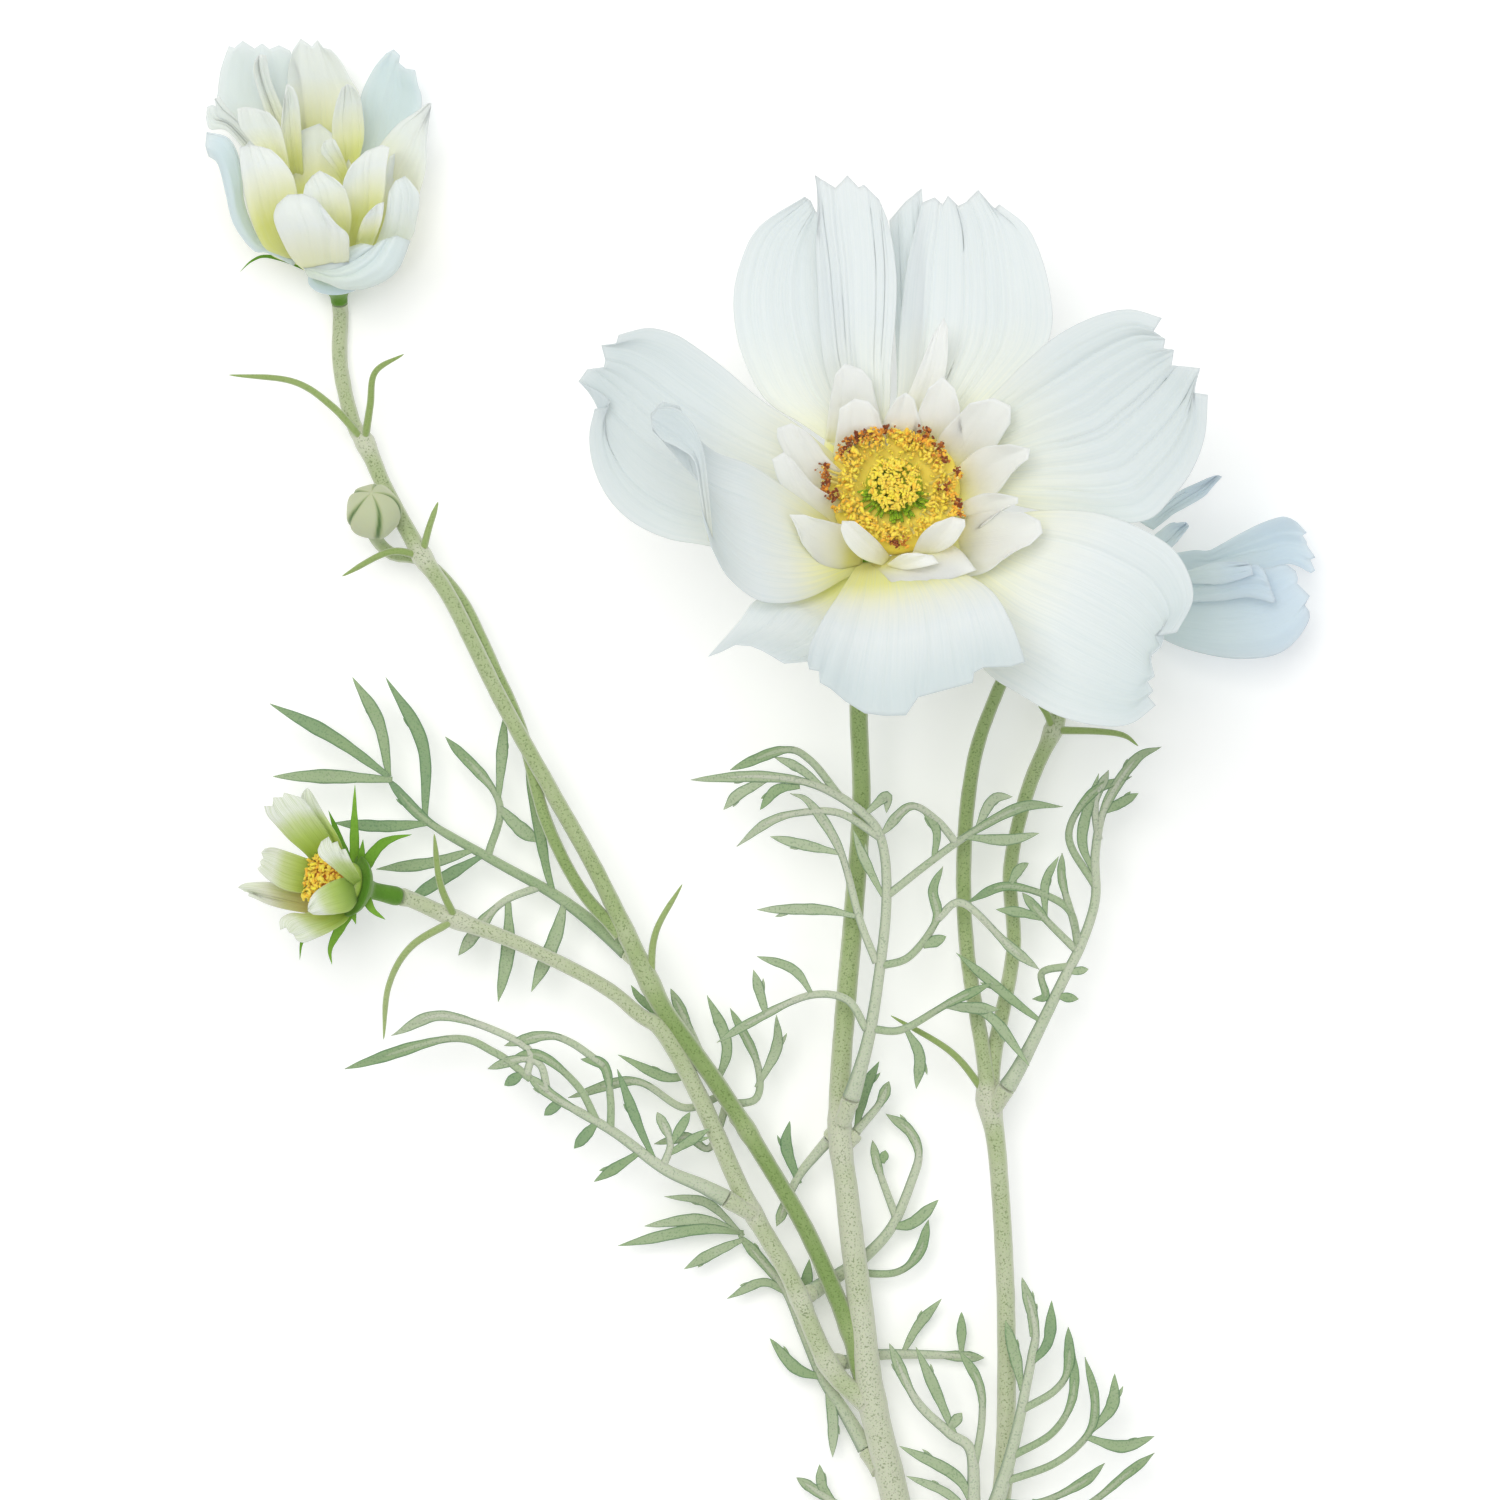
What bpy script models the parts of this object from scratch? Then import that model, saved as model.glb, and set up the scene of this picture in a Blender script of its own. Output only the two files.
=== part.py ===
"""A cut, branched spray of white semi-double cosmos, lying on a flat surface.

Metres, +Z up. The routes and sizes below are in millimetres, in a plan seen from above: X to the right,
Y up the spray from its cut end, Z the height above the surface. The last step moves the finished spray so
that the middle of its bounding box's bottom is the origin.
"""

import math
from dataclasses import dataclass, field

import bmesh
import bpy
from mathutils import Matrix, Vector

MM = 0.001
GAP = 0.3  # between two pieces that touch
PETAL_THICKNESS = 0.7
LEAFLET_THICKNESS = 0.8
LEAFLET_WIDTH = 1.5
RACHIS_WIDTH = 1.9
BRACT_WIDTH = 1.3
SOCKET_RADIUS = 1.25
STEM_STEP = 10.0  # distance between the rings of a stem
LEAFLET_STEP = 9.5
RACHIS_STEP = 9.0
LEAF_WAVE = 0.8  # how far a leaf rises and falls along its blades
NECK = 1.8  # straight length of a stem below what it carries

# Stems: (x, y, z, radius) along each, from its root to its tip.
STEMS = {
    "main": [(31, -163.5, 2.9, 2.8), (28.5, -145.5, 3.4, 2.7), (25, -127.5, 4.2, 2.3), (21.8, -112.5, 5, 2.2),
             (18.3, -97.5, 6, 2.1), (16.5, -82.5, 7, 1.9), (14.7, -67.5, 8, 1.75), (13.5, -52.5, 9, 1.6),
             (15.8, -22.5, 10, 1.5), (16.8, -7.5, 10.5, 1.4), (16.4, 6, 11, 1.4), (17.2, 19, 13.5, 1.5),
             (18.8, 28, 18, 1.6)],
    "right": [(28.5, -145.5, 3.4, 1.8), (33.5, -128, 4.5, 1.6), (38, -112.5, 5.5, 1.5), (38.7, -87, 7, 1.4),
              (37.5, -63, 8, 1.4), (36, -52.5, 8.5, 1.6), (35.3, -46.5, 9, 1.2), (32.7, -30, 9.4, 1.15),
              (32.3, -15, 9, 1.15), (33.8, -1.5, 8.5, 1.1), (37, 8, 7.8, 1.0)],
    "right_fork": [(36, -52.5, 8.5, 1.5), (37, -45, 8, 1.2), (39.8, -30, 7.2, 1.1), (39.3, -18, 6.7, 1.1),
                   (42, -6, 6.5, 1.1), (45.8, 3, 6.4, 1.2), (47.4, 8, 6.2, 1.2)],
    "left_low": [(18, -99, 6, 1.6), (12, -93, 6.8, 1.5), (6, -79.5, 7.9, 1.4), (-0.8, -67.5, 9.1, 1.4),
                 (-7.5, -52.5, 10.5, 1.35), (-13, -42.5, 12, 1.35), (-16.5, -40, 12.3, 1.15),
                 (-22.5, -35.3, 12.6, 1.1), (-34.5, -29.3, 12.8, 1.1), (-44.3, -25.5, 12.6, 1.25)],
    "left_high": [(15, -87.5, 6.6, 1.4), (9, -73.5, 8, 1.3), (3, -63, 9, 1.3), (-4.5, -51, 10.6, 1.35),
                  (-12, -40.5, 12, 1.4), (-15, -35.3, 12.5, 1.5), (-22.5, -19.5, 12.5, 1.25),
                  (-30, -6, 12, 1.2), (-37.5, 7.5, 11, 1.2), (-45, 22.5, 9.6, 1.2), (-49.5, 29.3, 8.8, 1.3),
                  (-54.8, 39, 7.2, 1.2), (-58.2, 46.5, 6, 1.3), (-60, 49.5, 5.2, 1.15), (-62, 58, 2.4, 1.15)],
    "bud_stalk": [(-19.5, -27.8, 12.3, 1.0), (-25.5, -21, 12.0, 0.95), (-30.8, -10.5, 11.4, 0.95),
                  (-34.5, 3, 9.6, 0.95), (-38.4, 12, 8.8, 0.95), (-43.5, 22.5, 7.4, 0.95),
                  (-49, 28.4, 6.2, 0.95), (-54, 29.6, 5.8, 0.95)],
}
# What each stem carries at its tip, and the radius of its neck there.
CARRIED = {
    "main": ("main", 1.7), "right": ("right_bud", 1.0), "right_fork": ("back", 1.2),
    "left_low": ("small", 1.2), "left_high": ("left", 1.2), "bud_stalk": ("ball_bud", 0.95),
}

# Bracts at the nodes of the stems: (x, y, z) from the node to the tip.
BRACTS = [
    [(-58.2, 46.5, 7), (-63, 51.8, 8.4), (-69, 55.6, 9), (-78.6, 56.6, 8)],
    [(-58.2, 46.5, 7), (-57.3, 52, 8.6), (-56.5, 57, 9.4), (-52.2, 59.7, 9.2)],
    [(-49.5, 29.3, 9.2), (-54.5, 29.8, 10.6), (-61.5, 26.2, 9.8)],
    [(-49.5, 29.3, 9.2), (-48.4, 33.4, 10.6), (-47, 37.4, 11)],
    [(-15, -35.3, 12.5), (-14.2, -27.5, 14.2), (-10.2, -20.2, 14.6)],
    [(-44.3, -25.5, 13.6), (-46.6, -20, 15.2), (-47.5, -12.6, 15)],
    [(-44.3, -25.5, 13.6), (-51, -29.6, 14.8), (-54.4, -35.6, 13.4), (-55.2, -43.6, 11.4)],
    [(36, -52.5, 8.5), (30.4, -45.6, 10.6), (21.2, -40, 11.2)],
    [(45.8, 3, 7), (44.8, 5.4, 8), (43.2, 7.6, 8.4)],
    [(45.8, 3, 7), (52.6, 2.8, 8.8), (56.4, 2.2, 8.6), (58.6, 0.6, 7.8)],
]


@dataclass
class Leaf:
    """A finely cut leaf in plan. It leaves its stem at one height and levels out at another."""

    socket: float  # length of the stem's own socket, before the leaf's base
    start: float  # height at the stem
    level: float  # height further out
    droop: float  # distance over which it gets there
    rachis: list
    pinnae: list

    def curve(self, places, step):
        """A smooth curve through places of the plan, at the leaf's height there."""
        curve = []
        for x, y in smooth(places, step):
            away = math.dist((x, y), self.rachis[0])
            wave = LEAF_WAVE * math.sin(x / 6) * math.cos(y / 8) * min(1, away / 20)
            height = self.level + (self.start - self.level) * math.exp(-away / self.droop) + wave
            curve.append(Vector((x, y, height)))
        return curve


LEAVES = {
    "leaf_upper_left": Leaf(
        socket=3.5, start=12.0, level=7.4, droop=7,
        rachis=[(-16, -32.5), (-19, -30), (-28.5, -22.5), (-39, -16.5), (-49, -10.5),
                (-55, -4)],
        pinnae=[
            [(-54.5, -4), (-63, 2), (-72.5, 7)],
            [(-54.5, -4), (-56, 4), (-60, 11)],
            [(-54, -4.5), (-63, -4), (-72, -4)],
            [(-49, -10.5), (-49.5, 1), (-55, 11)],
            [(-48, -11), (-55, -11.5), (-63, -11)],
            [(-41.5, -15), (-48, -17), (-56.5, -18)],
            [(-40.5, -16), (-46.5, -19.5), (-52, -23)],
            [(-39.5, -16), (-38, -7.5), (-46, 2)],
            [(-38, -7.5), (-37.5, -1.5), (-37, 5.5)],
            [(-38, -8.5), (-34.5, -12), (-31.5, -14)],
            [(-29.5, -22), (-31, -16.5), (-34, 1)],
            [(-31.5, -20.5), (-38, -23.5), (-44, -31)],
            [(-36.5, -23), (-36.5, -30), (-38, -38)],
            [(-28, -23), (-29.5, -28.5), (-33, -36.5)],
        ],
    ),
    "leaf_lower_left": Leaf(
        socket=5, start=9.2, level=12.8, droop=7,
        rachis=[(0.5, -70), (-6.5, -66), (-13, -63), (-20.5, -57.5), (-29, -52.5),
                (-34, -48.5)],
        pinnae=[
            [(-33, -49.5), (-38.5, -45.5), (-45.5, -43.5), (-61, -48)],
            [(-33.5, -49), (-34, -44.5), (-46, -40), (-54, -43)],
            [(-22, -47.5), (-27, -44), (-31, -43), (-37, -44.5)],
            [(-23, -56), (-26, -50.5), (-31.5, -46), (-36.5, -46.5)],
            [(-30.5, -51.5), (-31.5, -47.5), (-34.5, -46.5), (-39.5, -48)],
            [(-34, -48.5), (-37, -50.5)],
            [(-28, -52.5), (-31, -55)],
            [(-23, -56), (-26.5, -60)],
            [(-16.5, -60.5), (-23.5, -65)],
            [(-21, -57.5), (-21, -52.5), (-22, -47.5), (-25.5, -46.5)],
            [(-14.5, -61.5), (-17, -56), (-20, -48)],
            [(-13, -62.5), (-12, -59), (-14, -54.5)],
            [(-12, -59.5), (-9, -54.5)],
            [(-12.5, -61), (-6, -57)],
        ],
    ),
    "leaf_low_left": Leaf(
        socket=4, start=5.4, level=3.2, droop=3,
        rachis=[(19.5, -109), (14.5, -100.5), (11, -95), (8, -88), (5.5, -82), (2, -77.5),
                (-2, -73)],
        pinnae=[
            [(-1, -73.5), (-6.5, -68.5), (-13, -67.5)],
            [(-1.5, -73), (-7.5, -71), (-16, -72)],
            [(-1, -73), (-8, -72.5), (-20, -75)],
            [(-1, -74), (-5.5, -76), (-10, -78.5)],
            [(6, -82.5), (2, -80.5), (-3.5, -83)],
            [(7.5, -87.5), (8.5, -81), (9, -77)],
            [(11.5, -95), (7, -93.5), (3, -89)],
            [(11.5, -95.5), (12.5, -101), (12.5, -107)],
        ],
    ),
    "leaf_back_left": Leaf(
        socket=3.5, start=9.7, level=6.4, droop=3,
        rachis=[(-0.5, -57.5), (-4, -52), (-7, -47), (-9, -42.5), (-12, -36)],
        pinnae=[
            [(-4, -52), (-10, -54), (-17.5, -50), (-27.5, -52.5)],
            [(-3.4, -53), (-6, -60), (-9.5, -58.5), (-14.5, -59.5)],
            [(-6.5, -47), (-12, -49.5), (-20, -46)],
            [(-9.5, -42), (-16, -38), (-18, -35.5)],
            [(-3.5, -53.5), (1, -52.5), (1, -47), (-3, -39)],
            [(-5, -50.5), (-3.5, -44.5), (-6.5, -37)],
            [(1, -51), (4, -45), (4, -40)],
        ],
    ),
    "leaf_centre": Leaf(
        socket=4, start=10.4, level=16.0, droop=9,
        rachis=[(14, -56), (16, -50), (18, -42.5), (19.5, -33), (20.5, -23), (20, -14.5),
                (17.5, -10), (10.5, -5.5), (2, -4), (-9, -4.5)],
        pinnae=[
            [(13.5, -7), (9, -1.5), (5, 0), (-3, -3)],
            [(2.5, -4.5), (-1.5, -6.5), (-4, -9)],
            [(7.5, -5.5), (4, -6), (1.5, -9)],
            [(11, -5.5), (7, -2.5), (3.5, -1)],
            [(13.5, -9.5), (7, -9.5), (2.5, -11), (-2, -14.5)],
            [(13.5, -15.5), (7, -14), (3, -13)],
            [(19, -32), (16.5, -25.5), (13.5, -15), (9, -8), (6, -6.5)],
            [(16, -25), (10.5, -24), (1, -24)],
            [(20, -22), (17, -16), (15.5, -12)],
            [(17.5, -42), (14.5, -37.5), (8.5, -37), (0, -41), (-5, -44)],
            [(9.5, -37), (6.5, -33), (1, -31)],
            [(2.5, -40), (0.5, -33)],
            [(18.5, -42), (23, -42), (30, -38), (36.5, -35)],
            [(30, -38.5), (36, -40), (42, -47.5)],
            [(29.5, -38.5), (37.5, -39)],
            [(23.5, -42), (25.5, -46), (25, -51)],
            [(19.5, -32.5), (24, -31), (28, -25.5), (27.5, -21), (29, -17.5)],
            [(28, -25.5), (32, -23), (39, -29.5), (43.5, -33)],
            [(26, -29.5), (29.5, -28)],
            [(20.5, -22), (27.5, -16.5), (34, -12), (41, -8.5), (47, -8.5)],
            [(32, -13), (38.5, -13.5), (43.5, -12.5)],
            [(31, -14), (28, -10.5), (24, -8.5), (19.5, -13)],
            [(27.5, -17), (28, -12), (25.5, -8.5)],
            [(34, -12), (36.5, -7.5), (39.5, -7)],
            [(17.5, -9.5), (20.5, -7), (20.5, -9.5)],
        ],
    ),
    "leaf_right": Leaf(
        socket=4.5, start=8.7, level=12.4, droop=6,
        rachis=[(36.5, -54.5), (38, -52), (41, -47), (47, -35), (50, -29), (52, -22.5),
                (52, -15.5), (53.5, -8.5), (58, -1.5), (62, 0.5)],
        pinnae=[
            [(53, -9.5), (58.5, -6.5)],
            [(52, -20.5), (48, -13), (51.5, -6.5), (57.5, -4)],
            [(52, -19), (50, -13), (52.5, -3.5)],
            [(52.5, -13.5), (52, -8), (54, -3)],
            [(44, -41), (40, -38), (31, -30.5)],
            [(49, -30), (44.5, -25.5), (41, -21.5)],
            [(44.5, -25.5), (41, -24.5), (37, -24)],
            [(44.5, -25.5), (44.5, -20), (46.5, -16)],
            [(49.5, -29), (48.5, -25), (47, -19.5), (47, -15.5)],
            [(49.5, -29.5), (47.5, -23.5), (39, -20.5), (32.5, -23)],
            [(39, -20.5), (40.5, -18), (42, -17)],
            [(48.5, -32.5), (44, -33.5), (44.5, -37), (42.5, -37.5)],
            [(48, -33.5), (51, -33)],
            [(46, -37), (49.5, -37.5)],
        ],
    ),
    "leaf_mid_right": Leaf(
        socket=3, start=7.8, level=3.8, droop=3,
        rachis=[(7.5, -83), (14, -79), (17.5, -76.5), (21.5, -72), (24.5, -65), (25.5, -61),
                (24, -57.5), (20.5, -55)],
        pinnae=[
            [(22, -70.5), (19.5, -63.5), (18.5, -59)],
            [(20, -62.5), (20.5, -60.5)],
            [(21, -72), (24.5, -71.5), (28.5, -68)],
            [(15, -79), (22, -79), (25.5, -76), (27, -71)],
        ],
    ),
    "leaf_low_centre": Leaf(
        socket=3.2, start=6.8, level=2.4, droop=3,
        rachis=[(11.5, -92.5), (15, -92.5), (19.5, -91.5), (27.5, -91.5), (35.5, -92)],
        pinnae=[
            [(23, -91.5), (25.5, -87), (29, -83)],
            [(32, -91.5), (32, -85)],
        ],
    ),
    "leaf_mid_left": Leaf(
        socket=3.2, start=8.8, level=5.6, droop=4,
        rachis=[(14, -56.5), (10, -61), (7, -65), (4, -72)],
        pinnae=[
            [(7.5, -65.5), (5.5, -60), (6, -56)],
        ],
    ),
    "leaf_mid_small": Leaf(
        socket=3, start=8.6, level=6.6, droop=4,
        rachis=[(14, -60), (16.5, -57), (19.5, -53.5), (21, -50)],
        pinnae=[
            [(16, -57), (17.5, -51), (19.5, -47)],
        ],
    ),
    "leaf_bottom_right": Leaf(
        socket=4, start=5.5, level=9.6, droop=3,
        rachis=[(36, -117.5), (37.5, -112.5), (39, -107.5), (40.5, -101.5), (41.5, -96.5),
                (42.5, -91.5), (43, -87), (41, -79.5)],
        pinnae=[
            [(42.5, -88.5), (42.5, -82)],
            [(42.5, -92.5), (45, -89), (45.5, -83)],
            [(41, -99.5), (46, -96.5), (48, -93), (48, -87)],
            [(39.5, -106.5), (45.5, -103), (48.5, -98), (49, -91)],
            [(38, -110.5), (46, -107.5), (51, -103), (52, -98), (50.5, -91.5)],
            [(51, -103), (54.5, -99), (55, -94)],
            [(50.5, -103.5), (56, -105), (61, -103.5)],
            [(37, -113.5), (43.5, -113.5), (50, -110.5), (53.5, -107.5)],
            [(42.5, -113.5), (49.5, -114.5), (57, -109), (61, -106)],
            [(41, -96.5), (40, -91.5), (38.5, -86)],
        ],
    ),
    "leaf_bottom_centre": Leaf(
        socket=4, start=5.2, level=8.6, droop=3,
        rachis=[(35, -121.5), (33.8, -115.5), (33.4, -106), (30, -103), (25, -98), (21, -89.5)],
        pinnae=[
            [(31, -103.5), (27.5, -95.5), (25, -90)],
            [(30, -102.5), (32, -100)],
            [(33.6, -109.5), (35, -101), (34.5, -95.5), (31.5, -90.5)],
            [(33.8, -114.5), (31, -109.5), (22.5, -105)],
            [(33.8, -115.8), (29.5, -112), (23.5, -109.5)],
        ],
    ),
    "leaf_bottom_left": Leaf(
        socket=3.5, start=4.6, level=3.4, droop=4,
        rachis=[(23, -121.5), (18, -117), (13, -114), (7, -110)],
        pinnae=[
            [(17, -116.5), (12, -117.5), (7.5, -118.5)],
            [(13, -114), (11, -111.5), (10.5, -108)],
        ],
    ),
}


@dataclass
class Petal:
    """One petal of a bloom; angles in degrees, sizes in millimetres."""

    turn: float  # round the bloom's axis
    lift: float  # of its root above the bloom's plane
    length: float
    width: float
    bend: float = 0.0  # further lift from root to tip
    roll: float = 0.0  # about its own midrib
    sway: float = 0.0  # sideways bow of its midrib
    cup: float = 0.25  # how far its edges rise, as a part of its half width
    root: tuple = (5.0, -0.3)  # radius and height where it starts
    teeth: float = 0.05  # depth of the teeth at its tip, as a part of its length
    across: int = 8  # facets across; the teeth stand at every second line
    along: int = 4


@dataclass
class Bloom:
    centre: tuple
    axis: tuple
    petals: list
    plate: float  # radius of the receptacle's plate, which the petals grow from
    calyx: list  # (height, radius) of the turned cup, from the stalk up
    bracts: list = field(default_factory=list)  # (turn, lift, length, width) of the calyx's bracts
    disc: float = 0.0  # radius of the disc's dome
    florets: int = 0
    anthers: int = 0


def row(petals, **same):
    """Petals of one row from (turn, lift, length, width, bend), alike in all else."""
    names = ("turn", "lift", "length", "width", "bend")
    return [Petal(**dict(zip(names, sizes)), **same) for sizes in petals]


SMALL_PETAL = {"across": 2, "along": 3, "teeth": 0}
MAIN_BLOOM = Bloom(
    centre=(21.5, 37.8, 36),
    axis=(0, 0.375, 0.927),
    plate=7.2,
    petals=[
        Petal(turn=100, lift=15, length=45, width=27, bend=6, roll=4, sway=6),
        Petal(turn=78, lift=12, length=45, width=27, bend=2, roll=-6, sway=-5),
        Petal(turn=9, lift=26, length=47, width=35, bend=4, roll=8, sway=2),
        Petal(turn=-38, lift=14, length=49, width=38, bend=-2, roll=-4, sway=-3),
        Petal(turn=-92, lift=26, length=43, width=29, bend=4),
        Petal(turn=-131, lift=27, length=40, width=24, bend=-4),
        Petal(turn=-156, lift=35, length=42, width=33, bend=22, roll=-10, sway=-3),
        Petal(turn=171, lift=26, length=48, width=38, bend=-6, roll=8, sway=-2),
    ] + row([
        (110, 26, 12, 6, 14), (91, 38, 12, 5, 12), (69, 24, 19, 6, 4), (46, 40, 12, 6, 10),
        (26, 24, 13, 7, 8), (6, 36, 14, 7, 0), (-14, 20, 15, 7, 6), (-42, 30, 9, 5, 40),
        (-66, 22, 10, 6, 36), (-88, 28, 9, 6, 36), (-112, 28, 10, 6, 36), (-146, 30, 11, 6, 22),
        (172, 26, 12, 6, 14), (146, 32, 13, 6, 10),
    ], root=(6.4, 0.2), **SMALL_PETAL),
    calyx=[(-7.2, 2.0), (-5.6, 3.2), (-2.4, 5.2), (-1.3, 6.2)],
    bracts=[(turn, -8, 13, 3.2) for turn in range(20, 380, 45)],
    disc=5.6,
    florets=12,
    anthers=14,
)
LEFT_BLOOM = Bloom(
    centre=(-62.4, 71.6, 5.2),
    axis=(-0.06, 0.83, 0.56),
    plate=4.4,
    petals=row([
        (130, 30, 38, 17, 72), (100, 36, 38, 16, 72), (70, 34, 36.5, 14, 68), (42, 40, 37, 15, 58),
        (3, 46, 37, 15, 46), (-27, 40, 34, 15, 50), (-59, 12, 29, 17, 70), (-99, 24, 32, 16, 70),
        (-142, 38, 32, 14, 56), (172, 42, 36, 17, 48),
    ], root=(3.4, -0.2), cup=0.4, across=4) + row([
        (80, 66, 25, 8, 16), (118, 60, 23, 8, 20), (40, 59, 20, 8, 21), (5, 56, 19, 8, 22),
        (158, 56, 20, 8, 24), (-40, 50, 15, 8, 30), (-83, 59, 14, 8, 28), (-130, 50, 17, 8, 34),
    ], root=(2.4, 0.2), cup=0.4, **SMALL_PETAL),
    calyx=[(-4.6, 1.6), (-3.2, 2.4), (-1.2, 3.6)],
    bracts=[(200, 4, 9, 1.8), (255, -10, 6, 1.8), (320, 0, 6, 1.8)],
    disc=1.6,
)
SMALL_BLOOM = Bloom(
    centre=(-60.6, -20.2, 17.6),
    axis=(-0.82, 0.2, 0.53),
    plate=3.4,
    petals=row([
        (33, 41, 14.5, 8.5, 8), (92, 38, 14, 7.6, 10), (117, 54, 14.5, 6, 2), (160, 42, 12, 7.5, 10),
        (205, 50, 13, 7, 10), (238, 46, 11.5, 8.4, 30), (321, 44, 10.5, 8.4, 20), (60, 40, 13, 6, 8),
    ], root=(2.6, -0.1), cup=0.35, across=4, along=3),
    calyx=[(-9.4, 1.2), (-4.6, 1.3), (-2.6, 2.2), (-1.2, 3.2)],
    bracts=[(10, 4, 11, 2.2), (345, -22, 9, 2.4), (300, -35, 7, 2.2), (250, -20, 6, 2.2), (215, -30, 8, 2.2),
            (180, 0, 11, 2.2), (145, 8, 11, 2.0), (70, -10, 8, 2.2)],
    disc=2.3,
    florets=8,
)
BACK_BLOOM = Bloom(
    centre=(57.6, 20.8, 7.9),
    axis=(0.95, 0.16, 0.26),
    plate=4.0,
    petals=row([
        (142, 50, 31, 13, 20), (-16, 56, 31, 14, 26), (-66, 57, 29, 12, 26), (62, 52, 27, 12, 30),
        (100, 50, 27, 12, 34),
    ], root=(2.6, -0.1), cup=0.4, across=4) + row([
        (299, 76, 24, 7, 8), (196, 49, 24, 4, 0), (210, 51, 17, 5, 0), (233, 78, 21, 6, 8),
    ], root=(2.6, 0.1), **SMALL_PETAL),
    calyx=[(-4.4, 1.5), (-2.6, 2.2), (-1.2, 3.4)],
    bracts=[(turn, 10, 8, 2.0) for turn in range(0, 360, 60)],
    disc=1.8,
)
BLOOMS = {"main": MAIN_BLOOM, "left": LEFT_BLOOM, "small": SMALL_BLOOM, "back": BACK_BLOOM}
PLATE_HALF = 0.8  # half the thickness of a receptacle's plate
FLAT_ANGLE = math.radians(0.3)  # faces closer than this to one plane become one

# Buds: centre, axis, radius.
BUDS = {
    "ball_bud": ((-56.7, 35.9, 12.0), (-0.06, 0.66, 0.75), 4.2),
    "right_bud": ((42.4, 19.6, 5.6), (0.4, 0.9, -0.15), 3.8),
}
BUD_SIDES = 10
BUD_RINGS = 6
BUD_RIBS = 5

# Plain materials: colour, roughness.
FINISHES = {
    "stem": ((0.42, 0.50, 0.30), 0.7),
    "leaf": ((0.33, 0.44, 0.33), 0.7),
    "petals": ((0.90, 0.93, 0.92), 0.55),
    "petals_back": ((0.55, 0.68, 0.74), 0.55),
    "petals_small": ((0.66, 0.76, 0.42), 0.55),
    "disc": ((0.82, 0.55, 0.05), 0.6),
    "calyx": ((0.25, 0.42, 0.08), 0.6),
    "bud": ((0.50, 0.58, 0.44), 0.7),
}


def finish(name):
    """The named plain material, made the first time it is asked for."""
    found = bpy.data.materials.get(name)
    if found:
        return found
    colour, roughness = FINISHES[name]
    material = bpy.data.materials.new(name)
    material.use_nodes = True
    shader = material.node_tree.nodes["Principled BSDF"]
    shader.inputs["Base Color"].default_value = (*colour, 1)
    shader.inputs["Roughness"].default_value = roughness
    shader.inputs["Metallic"].default_value = 0
    return material


def smooth(points, step):
    """A curve through the points, with a sample every step or so. Any radius in the points follows."""
    points = [Vector(point) for point in points]
    points = [2 * points[0] - points[1], *points, 2 * points[-1] - points[-2]]
    curve = [points[1]]
    for a, b, c, d in zip(points, points[1:], points[2:], points[3:]):
        count = max(1, round((c - b).length / step))
        for index in range(1, count + 1):
            t = index / count
            curve.append(0.5 * (2 * b + (c - a) * t + (2 * a - 5 * b + 4 * c - d) * t**2
                                + (3 * b - a - 3 * c + d) * t**3))
    return curve


def cut_at(curve, length):
    """The curve in two: its first length, and what is left of it."""
    walked = 0.0
    for index, (here, there) in enumerate(zip(curve, curve[1:])):
        reach = (there - here).length
        if walked + reach > length:
            middle = here.lerp(there, (length - walked) / reach)
            return [*curve[:index + 1], middle], [middle, *curve[index + 1:]]
        walked += reach
    return curve, []


def sweep(curve, halves, sides):
    """A closed tube along the curve. halves holds each ring's half width and half height."""
    shape = bmesh.new()
    rings = []
    for index, (point, (half_width, half_height)) in enumerate(zip(curve, halves)):
        ahead = curve[min(index + 1, len(curve) - 1)]
        behind = curve[max(index - 1, 0)]
        tangent = (ahead - behind).normalized()
        side = tangent.cross(Vector((0, 0, 1))).normalized()
        top = side.cross(tangent)
        ring = []
        for corner in range(sides):
            angle = 2 * math.pi * corner / sides - (math.pi / 6 if sides == 3 else 0)
            offset = side * (half_width * math.cos(angle)) + top * (half_height * math.sin(angle))
            ring.append(shape.verts.new((point + offset) * MM))
        rings.append(ring)
    for ring, following in zip(rings, rings[1:]):
        for corner in range(sides):
            after = (corner + 1) % sides
            shape.faces.new((ring[corner], ring[after], following[after], following[corner]))
    shape.faces.new(rings[0][::-1])
    shape.faces.new(rings[-1])
    bmesh.ops.triangulate(shape, faces=shape.faces)
    bmesh.ops.recalc_face_normals(shape, faces=shape.faces)
    return shape


def seat(name):
    """Where the tip of the stem below a bloom or bud ends, and the direction it ends in."""
    if name in BLOOMS:
        bloom = BLOOMS[name]
        axis = Vector(bloom.axis).normalized()
        return Vector(bloom.centre) + axis * (bloom.calyx[0][0] - GAP), axis
    centre, axis, radius = BUDS[name]
    axis = Vector(axis).normalized()
    return Vector(centre) - axis * (radius + GAP), axis


def stem(name):
    carried, radius = CARRIED[name]
    tip, axis = seat(carried)
    route = [*STEMS[name], (*(tip - axis * NECK), radius), (*tip, radius)]
    curve = smooth(route, STEM_STEP)
    return sweep([point.to_3d() for point in curve], [(point[3], point[3]) for point in curve], 6)


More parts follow.
